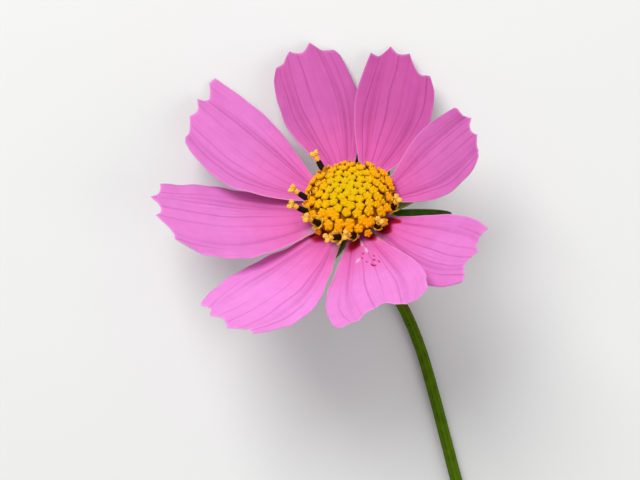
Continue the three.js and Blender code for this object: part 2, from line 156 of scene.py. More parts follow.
# Each petal: the way it points in degrees, length, width, rise at base and tip, twist, sideways bend,
# rounding and slant of its end, width at its claw and left at its end as shares, teeth across the end,
# depths of the notches and lift of the two side lobes; then its depth of colour from 0, pale, to 1,
# deepest, which is partly the petal's own colour and partly painted shade that makes petal_2 and
# petal_3 deepest and the petals opposite them palest, its crimson spots at the base and the pale
# blots, if any: across, along, and half the width and length of each.
PETALS = {
    "petal_1": dict(
        azimuth=18, length=24, width=14, rise=(14, 48), twist=9, bend=-1, round=0.1,
        slant=0.05, claw=0.13, end=0.85, teeth=(-0.8, -0.2, 0.4, 0.9), notches=(1, 1, 1),
        lobes=(0.9, 1.1), tone_and_shade=0.65, spots=[(0.3, 0.15, 0.7, 0.05)]),
    "petal_2": dict(
        azimuth=68, length=30.5, width=15, rise=(7, 8), twist=9, bend=3.5, round=0.15,
        slant=0.05, claw=0.13, end=0.9, teeth=(-0.8, -0.1, 0.5, 1), notches=(2.5, 1.5, 2),
        lobes=(0.2, 1), tone_and_shade=1, spots=[]),
    "petal_3": dict(
        azimuth=105, length=31.5, width=15.5, rise=(12, 18), twist=9, bend=1.5, round=0.15,
        slant=-0.05, claw=0.13, end=0.9, teeth=(-0.9, -0.3, 0.3, 0.8), notches=(1.5, 1.5, 1),
        lobes=(-0.5, 0.9), tone_and_shade=0.85, spots=[]),
    "petal_4": dict(
        azimuth=152, length=33, width=18, rise=(2, 25), twist=8, bend=-4.5, round=0.05,
        slant=-0.05, claw=0.13, end=0.85, teeth=(-0.8, -0.2, 0.3, 0.9), notches=(2, 1, 1),
        lobes=(0.9, 0.9), tone_and_shade=0.4, spots=[]),
    "petal_5": dict(
        azimuth=191, length=32, width=20.5, rise=(-3, 33), twist=7, bend=-3, round=0.1,
        slant=-0.03, claw=0.3, end=0.8, teeth=(-1, -0.4, 0.2, 0.9), notches=(1.5, 1.5, 2),
        lobes=(-0.5, 1), tone_and_shade=0.3, spots=[]),
    "petal_6": dict(
        azimuth=238, length=33.5, width=20.5, rise=(-3, 36), twist=8, bend=-1, round=0.05,
        slant=0.1, claw=0.2, end=0.8, teeth=(-0.9, -0.4, 0.3, 1), notches=(1.5, 1, 3),
        lobes=(-0.3, 0.9), tone_and_shade=0, spots=[(-0.6, 0.11, 0.5, 0.06)]),
    "petal_7": dict(
        azimuth=285, length=32, width=18, rise=(6, 40), twist=9, bend=0, round=0,
        slant=0.05, claw=0.2, end=0.85, teeth=(-0.9, 0.8), notches=(5,),
        lobes=(0.9, 1.1), tone_and_shade=0.15, spots=[
            (0.7, 0.1, 0.4, 0.06), (-0.4, 0.15, 0.4, 0.06), (0.2, 0.38, 0.04, 0.01),
            (0.15, 0.45, 0.05, 0.01), (0.1, 0.43, 0.02, 0.015), (0.3, 0.4, 0.02, 0.015),
            (0, 0.39, 0.02, 0.01), (-0.05, 0.29, 0.03, 0.01), (-0.1, 0.33, 0.02, 0.01),
            (0.25, 0.33, 0.02, 0.01)],
        blots=[(0, 0.18, 0.08, 0.04), (0.1, 0.26, 0.06, 0.035), (-0.25, 0.33, 0.1, 0.02)]),
    "petal_8": dict(
        azimuth=323, length=30.5, width=14, rise=(2, 46), twist=9, bend=-2, round=0.05,
        slant=0, claw=0.25, end=0.75, teeth=(-0.9, 0.1, 1), notches=(2.5, 3.5),
        lobes=(-0.5, 0.9), tone_and_shade=0.3, spots=[
            (0.1, 0.12, 0.7, 0.05), (0.6, 0.17, 0.15, 0.05), (-0.2, 0.15, 0.2, 0.05)]),
}

# Florets that are opening or in flower: azimuth in degrees, distance from the axis, lean, sway and
# turn about their own axis in degrees, how far the tube stands out, and how far they have come: 0 the
# mouth just open, 1 the style out.
OPEN_FLORETS = np.array([
    (0, 7, 40, 0, 20, 0, 0.2), (30, 6.5, 25, 0, 50, 0, 0.2), (55, 7, 25, 0, 5, 0, 0.2),
    (75, 6.5, 20, 0, 10, 0, 0.2), (90, 7, 20, 0, 60, 0, 0.2), (105, 6.5, 20, 0, 30, 0, 0.2),
    (120, 7.5, 45, 0, 0, 0, 0.2), (130, 7, 50, -5, -30, 0.3, 1), (155, 6, 35, 0, 0, 0, 0.2),
    (170, 6, 35, 0, 45, 0, 0.2), (185, 7, 55, -25, -50, 0, 1), (205, 7.5, 45, -20, -55, 0.3, 1),
    (230, 7.5, 30, -10, -75, 0.3, 1), (265, 8, 40, -25, -60, 1.2, 1), (280, 8, 30, -25, 70, 0.2, 0.8),
    (310, 8, 25, 0, -75, 0, 0.8), (340, 8, 25, 5, 60, 0.4, 0.8),
])
STAGE = OPEN_FLORETS[:, 6]
IN_FLOWER = STAGE > 0.5     # the column stands out, with the style on it

# Single closed florets: large ones between those, and small ones in the gaps the others leave: azimuth
# in degrees, distance from the axis, lean in degrees, size.
LARGE_BUDS = np.array([
    (215, 7, 50, 1.05), (245, 7, 50, 1.05), (260, 6.5, 45, 1.05), (275, 6.5, 45, 1.05),
    (295, 6.5, 50, 1.05), (325, 7, 50, 1.05),
])
SMALL_BUDS = np.array([
    (45, 6, 40, 0.8), (5, 6, 40, 0.8), (100, 7.5, 35, 0.75), (45, 7.5, 45, 0.7), (10, 7.5, 50, 0.7),
    (35, 5, 30, 0.7), (150, 5, 25, 0.6), (110, 7.5, 40, 0.6), (235, 6.5, 40, 0.6), (20, 6.5, 40, 0.6),
    (340, 6.5, 45, 0.6), (230, 8, 70, 0.8), (250, 8, 65, 0.8), (295, 8, 65, 0.8), (320, 8, 60, 0.8),
    (195, 8, 65, 0.75), (175, 7.5, 55, 0.75), (250, 5.5, 35, 0.95), (235, 5.5, 35, 0.8),
    (330, 6, 40, 0.8),
])

# Two rings of bracts: reach, width and its share at the base, level, turn in degrees, droop, the hub's
# radius and top, and thickness.
INNER_BRACT = dict(
    reach=12.2, width=5.6, base=0.62, level=-1.65, turn=18, droop=0.4, hub=4.9, top=-0.75, thick=0.3)
OUTER_BRACT = dict(
    reach=17.6, width=2.5, base=0.55, level=-2.85, turn=2, droop=1, hub=3.4, top=-2.55, thick=0.4)

# The stem's middle line down to the surface and along it: x and y from the head's middle, height.
STEM_COURSE = [
    (4, -9, 5.5), (7, -14, 2.7), (10, -18.5, 1.5), (13, -25.5, 1.1), (15, -32, 1.1), (20, -51, 1.15),
    (25, -70, 1.25), (29.5, -86, 1.3), (32, -96, 1.25),
]

HEAD_HINGE = Vector((-np.sin(HEAD_LEAN), np.cos(HEAD_LEAN), 0))
HEAD_TURN = np.array(Matrix.Rotation(HEAD_TILT, 3, HEAD_HINGE))

# ---------------------------------------------------------------- arrays of points


def smooth(x):
    """Rises from 0 to 1 while x does, level at both ends: x squared times three less twice x."""
    x = np.clip(x, 0, 1)
    return x * x * (3 - 2 * x)


def bump(x, middle, half):
    """A bell of height 1 round the middle: e to the power of minus the squared distance in halves."""
    return np.exp(-((x - middle) / half) ** 2)


def waves(points, size, seed):
    """Smooth lumps, mostly from -1 to 1: the sum of sines along five ways, each about size long."""
    points = np.asarray(points, float)
    chance = np.random.default_rng(seed)
    ways = chance.normal(size=(points.shape[-1], 5))
    ways /= np.linalg.norm(ways, axis=0)
    lengths = size * chance.uniform(0.7, 1.5, 5)
    starts = chance.uniform(0, TURN, 5)
    return np.sin(points @ ways * TURN / lengths + starts).sum(-1) / 2.5


def unit(vectors):
    """The vectors at length 1."""
    return vectors / np.maximum(np.linalg.norm(vectors, axis=-1, keepdims=True), 1e-12)


def stacked(*columns):
    """One array of rows from columns of any shapes that fit together."""
    return np.stack(np.broadcast_arrays(*columns), -1)


def per_copy(values):
    """One value for each copy, along the first axis of an array of copies, rings and sides."""
    return np.asarray(values)[..., None, None]


def shares(rings):
    """Even shares from 0 to 1, along the second axis."""
    return np.linspace(0, 1, rings)[None, :, None]


def angles(sides):
    """Even angles round a ring, along the third axis."""
    return (np.arange(sides) * TURN / sides)[None, None, :]


def leaf_grid(rows, columns):
    """Places along a leaf from 0 to 1, and across it from -1 to 1."""
    return np.meshgrid(np.linspace(0, 1, rows + 1), np.linspace(-1, 1, columns + 1), indexing="ij")


def round_shape(radius, angle, height, *painted):
    """Rings of points from their radius, angle and height, and the values painted on them."""
    return stacked(radius * np.cos(angle), radius * np.sin(angle), height, *painted)


def in_world(shape):
    """A shape from the head's own frame, turned and moved to where the head is."""
    return np.concatenate([shape[..., :3] @ HEAD_TURN.T + HEAD_AT, shape[..., 3:]], -1)


def stood(shape, azimuth, radius, height, lean, sway=0.0, turn=0.0):
    """Copies of a shape made along z: turned about z, swayed sideways, leaned outwards, swung to the
    azimuth and moved out by the radius and up to the height.  Each value has one number a copy."""
    azimuth, radius, height, lean, sway, turn = (
        per_copy(np.broadcast_to(value, np.shape(azimuth)))
        for value in (azimuth, radius, height, lean, sway, turn))
    x, y, z = shape[..., 0], shape[..., 1], shape[..., 2]
    x, y = x * np.cos(turn) - y * np.sin(turn), x * np.sin(turn) + y * np.cos(turn)
    y, z = y * np.cos(sway) + z * np.sin(sway), z * np.cos(sway) - y * np.sin(sway)
    x, z = x * np.cos(lean) + z * np.sin(lean), z * np.cos(lean) - x * np.sin(lean)
    x = x + radius
    x, y = x * np.cos(azimuth) - y * np.sin(azimuth), x * np.sin(azimuth) + y * np.cos(azimuth)
    return np.concatenate([stacked(x, y, z + height), shape[..., 3:]], -1)


def along_path(path, radius, sides):
    """Rings round a path of points: at each point a circle square to the path, carried on from the one
    before with the least turning.  The radius has a number for each point of each ring."""
    ahead = unit(np.gradient(path, axis=0))
    across = np.zeros_like(path)
    side = np.cross(ahead[0], [0.3, 0.2, 1.0])
    for i, way in enumerate(ahead):
        side = side - way * (side @ way)
        side = side / np.linalg.norm(side)
        across[i] = side
    up = np.cross(ahead, across)
    angle = (np.arange(sides) * TURN / sides)[:, None]
    ring = across[:, None] * np.cos(angle) + up[:, None] * np.sin(angle)
    return path[:, None] + ring * radius[..., None]


def catmull_rom(points, steps, samples=60):
    """A smooth line through the points, at even steps of length, and its length: a centripetal
    Catmull-Rom curve, worked out at a number of samples between each two points."""
    points = np.asarray(points, float)
    points = np.vstack([2 * points[0] - points[1], points, 2 * points[-1] - points[-2]])
    t = np.concatenate([[0], np.cumsum(np.linalg.norm(np.diff(points, axis=0), axis=1) ** 0.5)])
    line = []
    for i in range(1, len(points) - 2):
        s = np.linspace(t[i], t[i + 1], samples, endpoint=False)[:, None]
        p = points[i - 1:i + 3]
        k = t[i - 1:i + 3]
        a = [((k[j + 1] - s) * p[j] + (s - k[j]) * p[j + 1]) / (k[j + 1] - k[j]) for j in range(3)]
        b = [((k[j + 2] - s) * a[j] + (s - k[j]) * a[j + 1]) / (k[j + 2] - k[j]) for j in range(2)]
        line.append(((k[2] - s) * b[0] + (s - k[1]) * b[1]) / (k[2] - k[1]))
    line = np.vstack([*line, points[-2:-1]])
    reach = np.concatenate([[0], np.cumsum(np.linalg.norm(np.diff(line, axis=0), axis=1))])
    at = np.linspace(0, reach[-1], steps + 1)
    return stacked(*(np.interp(at, reach, line[:, axis]) for axis in range(3))), reach[-1]


# ---------------------------------------------------------------- closed surfaces from arrays


def lofted(rings):
    """Points and faces of closed tubes: rings of points joined side to side, with a pole at each end.
    rings has the shape (copies, rings, sides, numbers)."""
    copies, count, sides, numbers = rings.shape
    poles = np.stack([rings[:, 0].mean(1), rings[:, -1].mean(1)], 1)
    points = np.concatenate([rings.reshape(copies, -1, numbers), poles], 1)
    ring, side = np.meshgrid(np.arange(count - 1), np.arange(sides), indexing="ij")
    a, b = ring * sides + side, ring * sides + (side + 1) % sides
    quads = np.stack([a, b, b + sides, a + sides], -1).reshape(-1, 4)
    side = np.arange(sides)
    onward = (side + 1) % sides
    low, high = count * sides, count * sides + 1
    last = (count - 1) * sides
    fans = np.concatenate([
        stacked(low, onward, side), stacked(high, last + side, last + onward)])
    return spread_copies(points, quads, fans)


def bladed(face, back):
    """Points and faces of closed blades: a face and a back, joined round the rim.  Both arrays have
    the shape (copies, rows, columns, numbers); the face looks the way rows cross columns."""
    copies, rows, columns, numbers = face.shape
    points = np.concatenate([face.reshape(copies, -1, numbers), back.reshape(copies, -1, numbers)], 1)
    row, column = np.meshgrid(np.arange(rows - 1), np.arange(columns - 1), indexing="ij")
    a = row * columns + column
    grid = np.stack([a, a + columns, a + columns + 1, a + 1], -1).reshape(-1, 4)
    under = rows * columns
    number = np.arange(under).reshape(rows, columns)
    rim = np.concatenate([number[0, :-1], number[:-1, -1], number[-1, :0:-1], number[:0:-1, 0]])
    onward = np.roll(rim, -1)
    edge = stacked(rim, onward, onward + under, rim + under)
    quads = np.concatenate([grid, grid[:, ::-1] + under, edge])
    return spread_copies(points, quads, np.zeros((0, 3), int))


def spread_copies(points, quads, fans):
    """The faces of one copy repeated for every copy, and all the points in one list."""
    copies, each, numbers = points.shape
    step = (np.arange(copies) * each)[:, None, None]
    return (points.reshape(-1, numbers), (quads + step).reshape(-1, 4), (fans + step).reshape(-1, 3))


def joined(*shells):
    """Several shells as one: their points in a row, and each one's faces counted on from the last."""
    starts = np.cumsum([0] + [len(points) for points, _, _ in shells])
    return (
        np.concatenate([points for points, _, _ in shells]),
        np.concatenate([quads + at for (_, quads, _), at in zip(shells, starts)]),
        np.concatenate([fans + at for (_, _, fans), at in zip(shells, starts)]))


def make_piece(name, shell, painted, material, nodes):
    """Puts a finished piece into the scene from a shell in millimetres.  The columns after x, y and z
    become attributes with the painted names; "u" and "v" become the piece's UV map."""
    points, quads, fans = shell
    mesh = bpy.data.meshes.new(name)
    mesh.vertices.add(len(points))
    mesh.vertices.foreach_set("co", (points[:, :3] * MM).ravel().astype(np.float32))
    corners = np.concatenate([quads.ravel(), fans.ravel()]).astype(np.int32)
    starts = np.concatenate([np.arange(len(quads)) * 4, len(quads) * 4 + np.arange(len(fans)) * 3])
    mesh.loops.add(len(corners))
    mesh.loops.foreach_set("vertex_index", corners)
    mesh.polygons.add(len(starts))
    mesh.polygons.foreach_set("loop_start", starts.astype(np.int32))
    mesh.update(calc_edges=True)
    values = {key: points[:, 3 + i] for i, key in enumerate(painted)}
    if "u" in values:
        chart = stacked(values.pop("u"), values.pop("v"))[corners]
        mesh.uv_layers.new(name="leaf").data.foreach_set("uv", chart.ravel().astype(np.float32))
    for key, value in values.items():
        mesh.attributes.new(key, "FLOAT", "POINT").data.foreach_set("value", value.astype(np.float32))
    mesh.polygons.foreach_set("use_smooth", np.ones(len(starts), bool))
    mesh.materials.append(material)
    piece = bpy.data.objects.new(name, mesh)
    bpy.context.scene.collection.objects.link(piece)
    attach(piece, "root")
    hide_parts(*nodes)


# ---------------------------------------------------------------- material building


def set_input(tree, socket, value):
    """An input joined to another node's output, or set to a value."""
    if isinstance(value, bpy.types.NodeSocket):
        tree.links.new(value, socket)
    else:
        socket.default_value = value


def add_node(tree, kind, inputs=(), **settings):
    """A shader node with its properties set first, and then its inputs."""
    made = tree.nodes.new(kind)
    for key, value in settings.items():
        setattr(made, key, value)
    for key, value in dict(inputs).items():
        set_input(tree, made.inputs[key], value)
    return made


def group_node(tree, group, inputs):
    """A node group placed in a material with its own values."""
    return add_node(tree, "ShaderNodeGroup", inputs, node_tree=group).outputs


def maths(tree, operation, *values):
    """The result of a Math node."""
    return add_node(tree, "ShaderNodeMath", enumerate(values), operation=operation).outputs[0]


def times(tree, value, factor):
    """A value multiplied by another."""
    return maths(tree, "MULTIPLY", value, factor)


def blend(tree, share, first, second, mode="MIX"):
    """A colour that goes from the first to the second with the share."""
    made = add_node(tree, "ShaderNodeMix", {0: share}, data_type="RGBA", blend_type=mode)
    for index, colour in ((6, first), (7, second)):
        plain = isinstance(colour, tuple)
        set_input(tree, made.inputs[index], (*colour, 1) if plain else colour)
    return made.outputs[2]


def dyed(tree, ground, dye):
    """A colour multiplied by another, as a glaze over it."""
    return blend(tree, 1.0, ground, dye, "MULTIPLY")


def ramp(tree, value, *stops):
    """A grey value that follows the stops, each a place and a level."""
    made = add_node(tree, "ShaderNodeValToRGB", {0: value})
    elements = made.color_ramp.elements
    while len(elements) < len(stops):
        elements.new(0.5)
    for element, (place, level) in zip(elements, stops):
        element.position = place
        element.color = (level, level, level, 1)
    return made.outputs[0]


def attribute(tree, name):
    """The piece's own painted value."""
    return add_node(tree, "ShaderNodeAttribute", attribute_name=name).outputs["Fac"]


def new_group(name, inputs, outputs):
    """An empty node group with named sockets, and its input and output nodes."""
    tree = bpy.data.node_groups.new(name, "ShaderNodeTree")
    for key, (kind, value) in inputs.items():
        socket = tree.interface.new_socket(key, in_out="INPUT", socket_type=kind)
        if value is not None:
            socket.default_value = value
    for key, kind in outputs.items():
        tree.interface.new_socket(key, in_out="OUTPUT", socket_type=kind)
    return tree, tree.nodes.new("NodeGroupInput").outputs, tree.nodes.new("NodeGroupOutput").inputs


def plant_cells():
    """Living tissue under a loupe: small domed cells for the relief, and a soft mottling."""
    tree, given, result = new_group(
        "plant_cells",
        {"Place": ("NodeSocketVector", None), "Cell Count": ("NodeSocketFloat", 9000.0),
         "Mottle Count": ("NodeSocketFloat", 400.0)},
        {"Relief": "NodeSocketFloat", "Mottle": "NodeSocketFloat"})
    cells = add_node(
        tree, "ShaderNodeTexVoronoi", {"Vector": given["Place"], "Scale": given["Cell Count"]})
    mottle = add_node(
        tree, "ShaderNodeTexNoise",
        {"Vector": given["Place"], "Scale": given["Mottle Count"], "Detail": 4.0, "Roughness": 0.6})
    domed = maths(tree, "SUBTRACT", 1.0, cells.outputs["Distance"])
    tree.links.new(domed, result["Relief"])
    tree.links.new(mottle.outputs["Fac"], result["Mottle"])
    return tree


def parallel_veins():
    """Veins that run along a leaf's chart: thin lines at even places across, which wander a little,
    some strong and some faint, and fine streaks between them."""
    tree, given, result = new_group(
        "parallel_veins",
        {"Chart": ("NodeSocketVector", None), "Count": ("NodeSocketFloat", 10.0),
         "Wander": ("NodeSocketFloat", 0.03), "Sharpness": ("NodeSocketFloat", 12.0),
         "Seed": ("NodeSocketFloat", 0.0)},
        {"Vein": "NodeSocketFloat", "Streak": "NodeSocketFloat"})
    split = add_node(tree, "ShaderNodeSeparateXYZ", {0: given["Chart"]})
    across, along = split.outputs[0], split.outputs[1]
    seed = given["Seed"]
    place = add_node(tree, "ShaderNodeCombineXYZ", {
        0: times(tree, across, 2.0), 1: times(tree, along, 1.6), 2: seed})
    drift = add_node(
        tree, "ShaderNodeTexNoise", {"Vector": place.outputs[0], "Scale": 1.5, "Detail": 1.0})
    shift = times(tree, maths(tree, "SUBTRACT", drift.outputs["Fac"], 0.5), given["Wander"])
    placed = maths(tree, "ADD", across, shift)
    counted = times(tree, placed, given["Count"])
    wave = maths(tree, "ABSOLUTE", maths(tree, "COSINE", times(tree, counted, pi)))
    line = maths(tree, "POWER", wave, given["Sharpness"])
    number = add_node(tree, "ShaderNodeCombineXYZ", {0: counted, 1: times(tree, along, 1.3), 2: seed})
    force = add_node(
        tree, "ShaderNodeTexNoise", {"Vector": number.outputs[0], "Scale": 0.7, "Detail": 1.0})
    strong = ramp(tree, force.outputs["Fac"], (0.36, 0.1), (0.62, 1.0))
    tree.links.new(times(tree, line, strong), result["Vein"])
    long = add_node(tree, "ShaderNodeCombineXYZ", {
        0: times(tree, placed, 70.0), 1: times(tree, along, 2.5), 2: seed})
    streak = add_node(
        tree, "ShaderNodeTexNoise", {"Vector": long.outputs[0], "Scale": 1.0, "Detail": 3.0})
    tree.links.new(streak.outputs["Fac"], result["Streak"])
    return tree


PLANT_CELLS = plant_cells()
PARALLEL_VEINS = parallel_veins()


def new_material(name, **settings):
    """A material, its node tree and its Principled shader with constant settings on their sockets."""
    material = bpy.data.materials.new(name)
    material.use_nodes = True
    tree = material.node_tree
    shader = tree.nodes["Principled BSDF"]
    for key, value in settings.items():
        shader.inputs[key.replace("_", " ")].default_value = value
    return material, tree, shader


def cells_of(tree, cell_count, mottle_count):
    """The tissue effect on Object coordinates."""
    place = add_node(tree, "ShaderNodeTexCoord").outputs["Object"]
    return group_node(
        tree, PLANT_CELLS, {"Place": place, "Cell Count": cell_count, "Mottle Count": mottle_count})


def leaf_chart(tree):
    """A leaf's UV map: across it and along it."""
    return add_node(tree, "ShaderNodeUVMap", uv_map="leaf").outputs[0]


def mottled_streaks(tree, veins, cells):
    """Half the streaks between the veins and half the mottling of the tissue."""
    return maths(tree, "ADD", times(tree, veins["Streak"], 0.5), times(tree, cells["Mottle"], 0.5))


def finish_shader(tree, shader, colour, height, distance):
    """Joins a colour to the shader, and a height to its Normal through a Bump node."""
    tree.links.new(colour, shader.inputs["Base Color"])
    made = add_node(
        tree, "ShaderNodeBump", {"Height": height, "Distance": distance, "Strength": 1.0})
    tree.links.new(made.outputs[0], shader.inputs["Normal"])


def petal_material():
    """Satin pink petal: streaked tissue with darker veins, painted shade along the folds, a pale edge
    painted as a highlight, a whitish claw, crimson spots at the base, pale blots and a paler back."""
    material, tree, shader = new_material(
        "petal_tissue", Roughness=0.6, Specular_IOR_Level=0.15, Sheen_Weight=0.06, Sheen_Roughness=0.5)
    pale_pink, deep_pink, base_pink = (0.87, 0.26, 0.71), (0.55, 0.084, 0.33), (0.80, 0.12, 0.42)
    streak_dye, vein_and_fold_shade_dye = (0.86, 0.82, 0.88), (0.62, 0.42, 0.55)
    edge_highlight_pink, edge_highlight_rose, claw_mauve = (0.92, 0.40, 0.82), (0.90, 0.62, 0.66), (0.62, 0.36, 0.50)
    back_pink, blot_pink = (0.80, 0.50, 0.72), (0.80, 0.56, 0.64)
    spot_rim, spot_heart = (0.66, 0.02, 0.16), (0.33, 0.002, 0.02)
    chart = leaf_chart(tree)
    along = add_node(tree, "ShaderNodeSeparateXYZ", {0: chart}).outputs[1]
    tone_and_shade = attribute(tree, "tone_and_shade")
    veins = group_node(tree, PARALLEL_VEINS, {
        "Chart": chart, "Count": 7.0, "Wander": 0.1, "Sharpness": 46.0, "Seed": times(tree, tone_and_shade, 37.0)})
    cells = cells_of(tree, 9000.0, 420.0)

    # Depth of colour per petal: partly the petal's own colour, partly painted shade that deepens petal_2 and
    # petal_3.
    ground = blend(tree, tone_and_shade, pale_pink, deep_pink)
    ground = blend(tree, ramp(tree, along, (0.1, 1.0), (0.6, 0.0)), ground, base_pink)
    streaked = ramp(tree, mottled_streaks(tree, veins, cells), (0.3, 0.0), (0.7, 1.0))
    ground = blend(tree, streaked, dyed(tree, ground, streak_dye), ground)
    dark = dyed(tree, ground, vein_and_fold_shade_dye)
    ground = blend(tree, times(tree, veins["Vein"], 0.6), ground, dark)
    # Painted shade: the folds are darkened with the vein colour, where shade falls in the creases.
    ground = blend(tree, times(tree, attribute(tree, "fold_shade"), 0.5), ground, dark)
    near = ramp(tree, along, (0.15, 1.0), (0.6, 0.0))
    edge_highlight_force = maths(tree, "ADD", 0.35, times(tree, near, 0.4))
    # Painted highlight: a pale rim along the petal's thin edge, stronger and rosier near the base.
    ground = blend(tree, times(tree, attribute(tree, "edge"), edge_highlight_force), ground,
                   blend(tree, near, edge_highlight_pink, edge_highlight_rose))
    ground = blend(tree, attribute(tree, "claw"), ground, claw_mauve)
    ground = blend(tree, attribute(tree, "under"), ground, blend(tree, 0.45, ground, back_pink))
    roughened = times(tree, maths(tree, "SUBTRACT", cells["Mottle"], 0.5), 0.5)
    ragged = maths(tree, "ADD", attribute(tree, "spot"), roughened)
    ground = blend(tree, ramp(tree, ragged, (0.2, 0.0), (0.45, 1.0)), ground, spot_rim)
    ground = blend(tree, ramp(tree, ragged, (0.35, 0.0), (0.65, 1.0)), ground, spot_heart)
    blot = ramp(tree, attribute(tree, "blot"), (0.3, 0.0), (0.8, 0.8))
    ground = blend(tree, blot, ground, blot_pink)
    height = maths(tree, "SUBTRACT", times(tree, cells["Relief"], 0.25), veins["Vein"])
    finish_shader(tree, shader, ground, height, 0.00006)
    return material


def floret_material(name, cool, warm, dark, roughness):
    """Waxy floret: from a cool colour in the middle of the disc to a warm one outside, with the dark colour
    painted as shade at the root, in the grooves and down the throat, and as the green of the disc's foot."""
    material, tree, shader = new_material(name, Roughness=roughness, Specular_IOR_Level=0.06)
    cells = cells_of(tree, 12000.0, 1500.0)
    ground = blend(tree, attribute(tree, "outer"), cool, warm)
    mottled = ramp(tree, cells["Mottle"], (0.35, 0.5), (0.65, 0.0))
    ground = blend(tree, mottled, ground, dyed(tree, ground, (0.86, 0.66, 0.5)))
    # Painted shade: the dark colour at the florets' roots, in their grooves, down the bores and at the
    # styles' fork; on the disc's foot it is its green.
    ground = blend(tree, attribute(tree, "shade_and_green"), ground, dark)
    finish_shader(tree, shader, ground, cells["Relief"], 0.00003)
    return material


def anther_material():
    """Maroon-black anther column with a dull, mottled bloom."""
    material, tree, shader = new_material("anther_column", Roughness=0.65, Specular_IOR_Level=0.15)
    black, maroon = (0.006, 0.001, 0.001), (0.03, 0.004, 0.004)
    cells = cells_of(tree, 9000.0, 1800.0)
    ground = blend(tree, ramp(tree, cells["Mottle"], (0.4, 0.0), (0.8, 1.0)), black, maroon)
    finish_shader(tree, shader, ground, cells["Relief"], 0.00003)
    return material


def leaf_material(name, light, dark, margin, count, roughness):
    """A bract: green with parallel veins, mottled, with a pale thin margin."""
    material, tree, shader = new_material(name, Roughness=roughness, Specular_IOR_Level=0.12)
    veins = group_node(tree, PARALLEL_VEINS, {
        "Chart": leaf_chart(tree), "Count": count, "Wander": 0.04, "Sharpness": 6.0, "Seed": 3.0})
    cells = cells_of(tree, 8000.0, 900.0)
    shade = ramp(tree, mottled_streaks(tree, veins, cells), (0.35, 0.0), (0.65, 1.0))
    ground = blend(tree, shade, dark, light)
    ground = blend(tree, times(tree, veins["Vein"], 0.5), ground, dark)
    ground = blend(tree, attribute(tree, "edge"), ground, margin)
    height = maths(tree, "ADD", times(tree, cells["Relief"], 0.3), veins["Vein"])
    finish_shader(tree, shader, ground, height, 0.00008)
    return material


def stem_material():
    """Olive stem, its green made darker by painted shade: paler between its ribs, tinged red on one side
    near the head, with a pale pith at the cut."""
    material, tree, shader = new_material("stem_skin", Roughness=0.8, Specular_IOR_Level=0.06)
    shaded_dark_olive, shaded_olive, groove_green = (0.035, 0.085, 0.001), (0.075, 0.15, 0.001), (0.12, 0.20, 0.004)
    red_tinge, pith_cream = (0.11, 0.045, 0.006), (0.55, 0.58, 0.34)
    cells = cells_of(tree, 5000.0, 500.0)
    # Painted shade: both olives are partly the stem's own green and partly darkened for the shade it lies in.
    ground = blend(tree, ramp(tree, cells["Mottle"], (0.35, 0.0), (0.65, 1.0)), shaded_dark_olive, shaded_olive)
    ground = blend(tree, times(tree, attribute(tree, "rib"), 0.5), ground, groove_green)
    ground = blend(tree, attribute(tree, "red"), ground, red_tinge)
    ground = blend(tree, attribute(tree, "pith"), ground, pith_cream)
    finish_shader(tree, shader, ground, cells["Relief"], 0.00005)
    return material


def hair_material(name, root, tip, roughness):
    """Fine hairs and bristles: one colour at the root, another at the tip."""
    material, tree, shader = new_material(name, Roughness=roughness, Specular_IOR_Level=0.15)
    tree.links.new(blend(tree, attribute(tree, "tip"), root, tip), shader.inputs["Base Color"])
    return material


# ---------------------------------------------------------------- petals


def petal_spread(along, end, claw):
    """Half width as a share of the widest: a narrow claw that swells to the widest place as the power
    of a sine, and draws in by a parabola to the end."""
    swell = np.clip(along / PETAL_WIDEST, 0, 1)
    past = np.clip((along - PETAL_WIDEST) / (1 - PETAL_WIDEST), 0, None)
    grown = np.sin(pi / 2 * swell) ** PETAL_SWELL
    return claw + (1 - claw) * grown - (1 - end) * past ** 2


def petal_reach(petal, u):
    """How far the petal's end stands out at u, in lengths: rounded corners, a slant, hollows between
    the teeth, and a fine unevenness of the edge."""
    reach = 1 - petal["round"] * np.abs(u) ** CORNER_POWER + petal["slant"] * u
    for left, right, depth in zip(petal["teeth"], petal["teeth"][1:], petal["notches"]):
        off = np.minimum(np.abs(2 * (u - left) / (right - left) - 1), 1)
        reach = reach - depth / petal["length"] * (1 - off ** TOOTH_POWER)
    return reach + END_RAGGED * waves(u[..., None], 0.4, petal["azimuth"])


def along_folds(u, half):
    """A bell along each of the two folds."""
    return bump(u, -FOLD_AT, half) + bump(u, FOLD_AT, half)


def petal_section(petal, u):
    """Height of the cross section: a parabola between the two folds, and side lobes that rise in a
    straight line from them; the creases are rounded by taking the mean of five near places."""
    def sharp(place):
        out = np.abs(place)
        lobe = np.where(place < 0, *petal["lobes"])
        panel = PETAL_ARCH * (1 - (out / FOLD_AT) ** 2)
        return np.where(out > FOLD_AT, lobe * (out - FOLD_AT) / (1 - FOLD_AT), panel)
    return np.mean([sharp(u + shift) for shift in np.linspace(-CREASE_ROUND, CREASE_ROUND, 5)], axis=0)


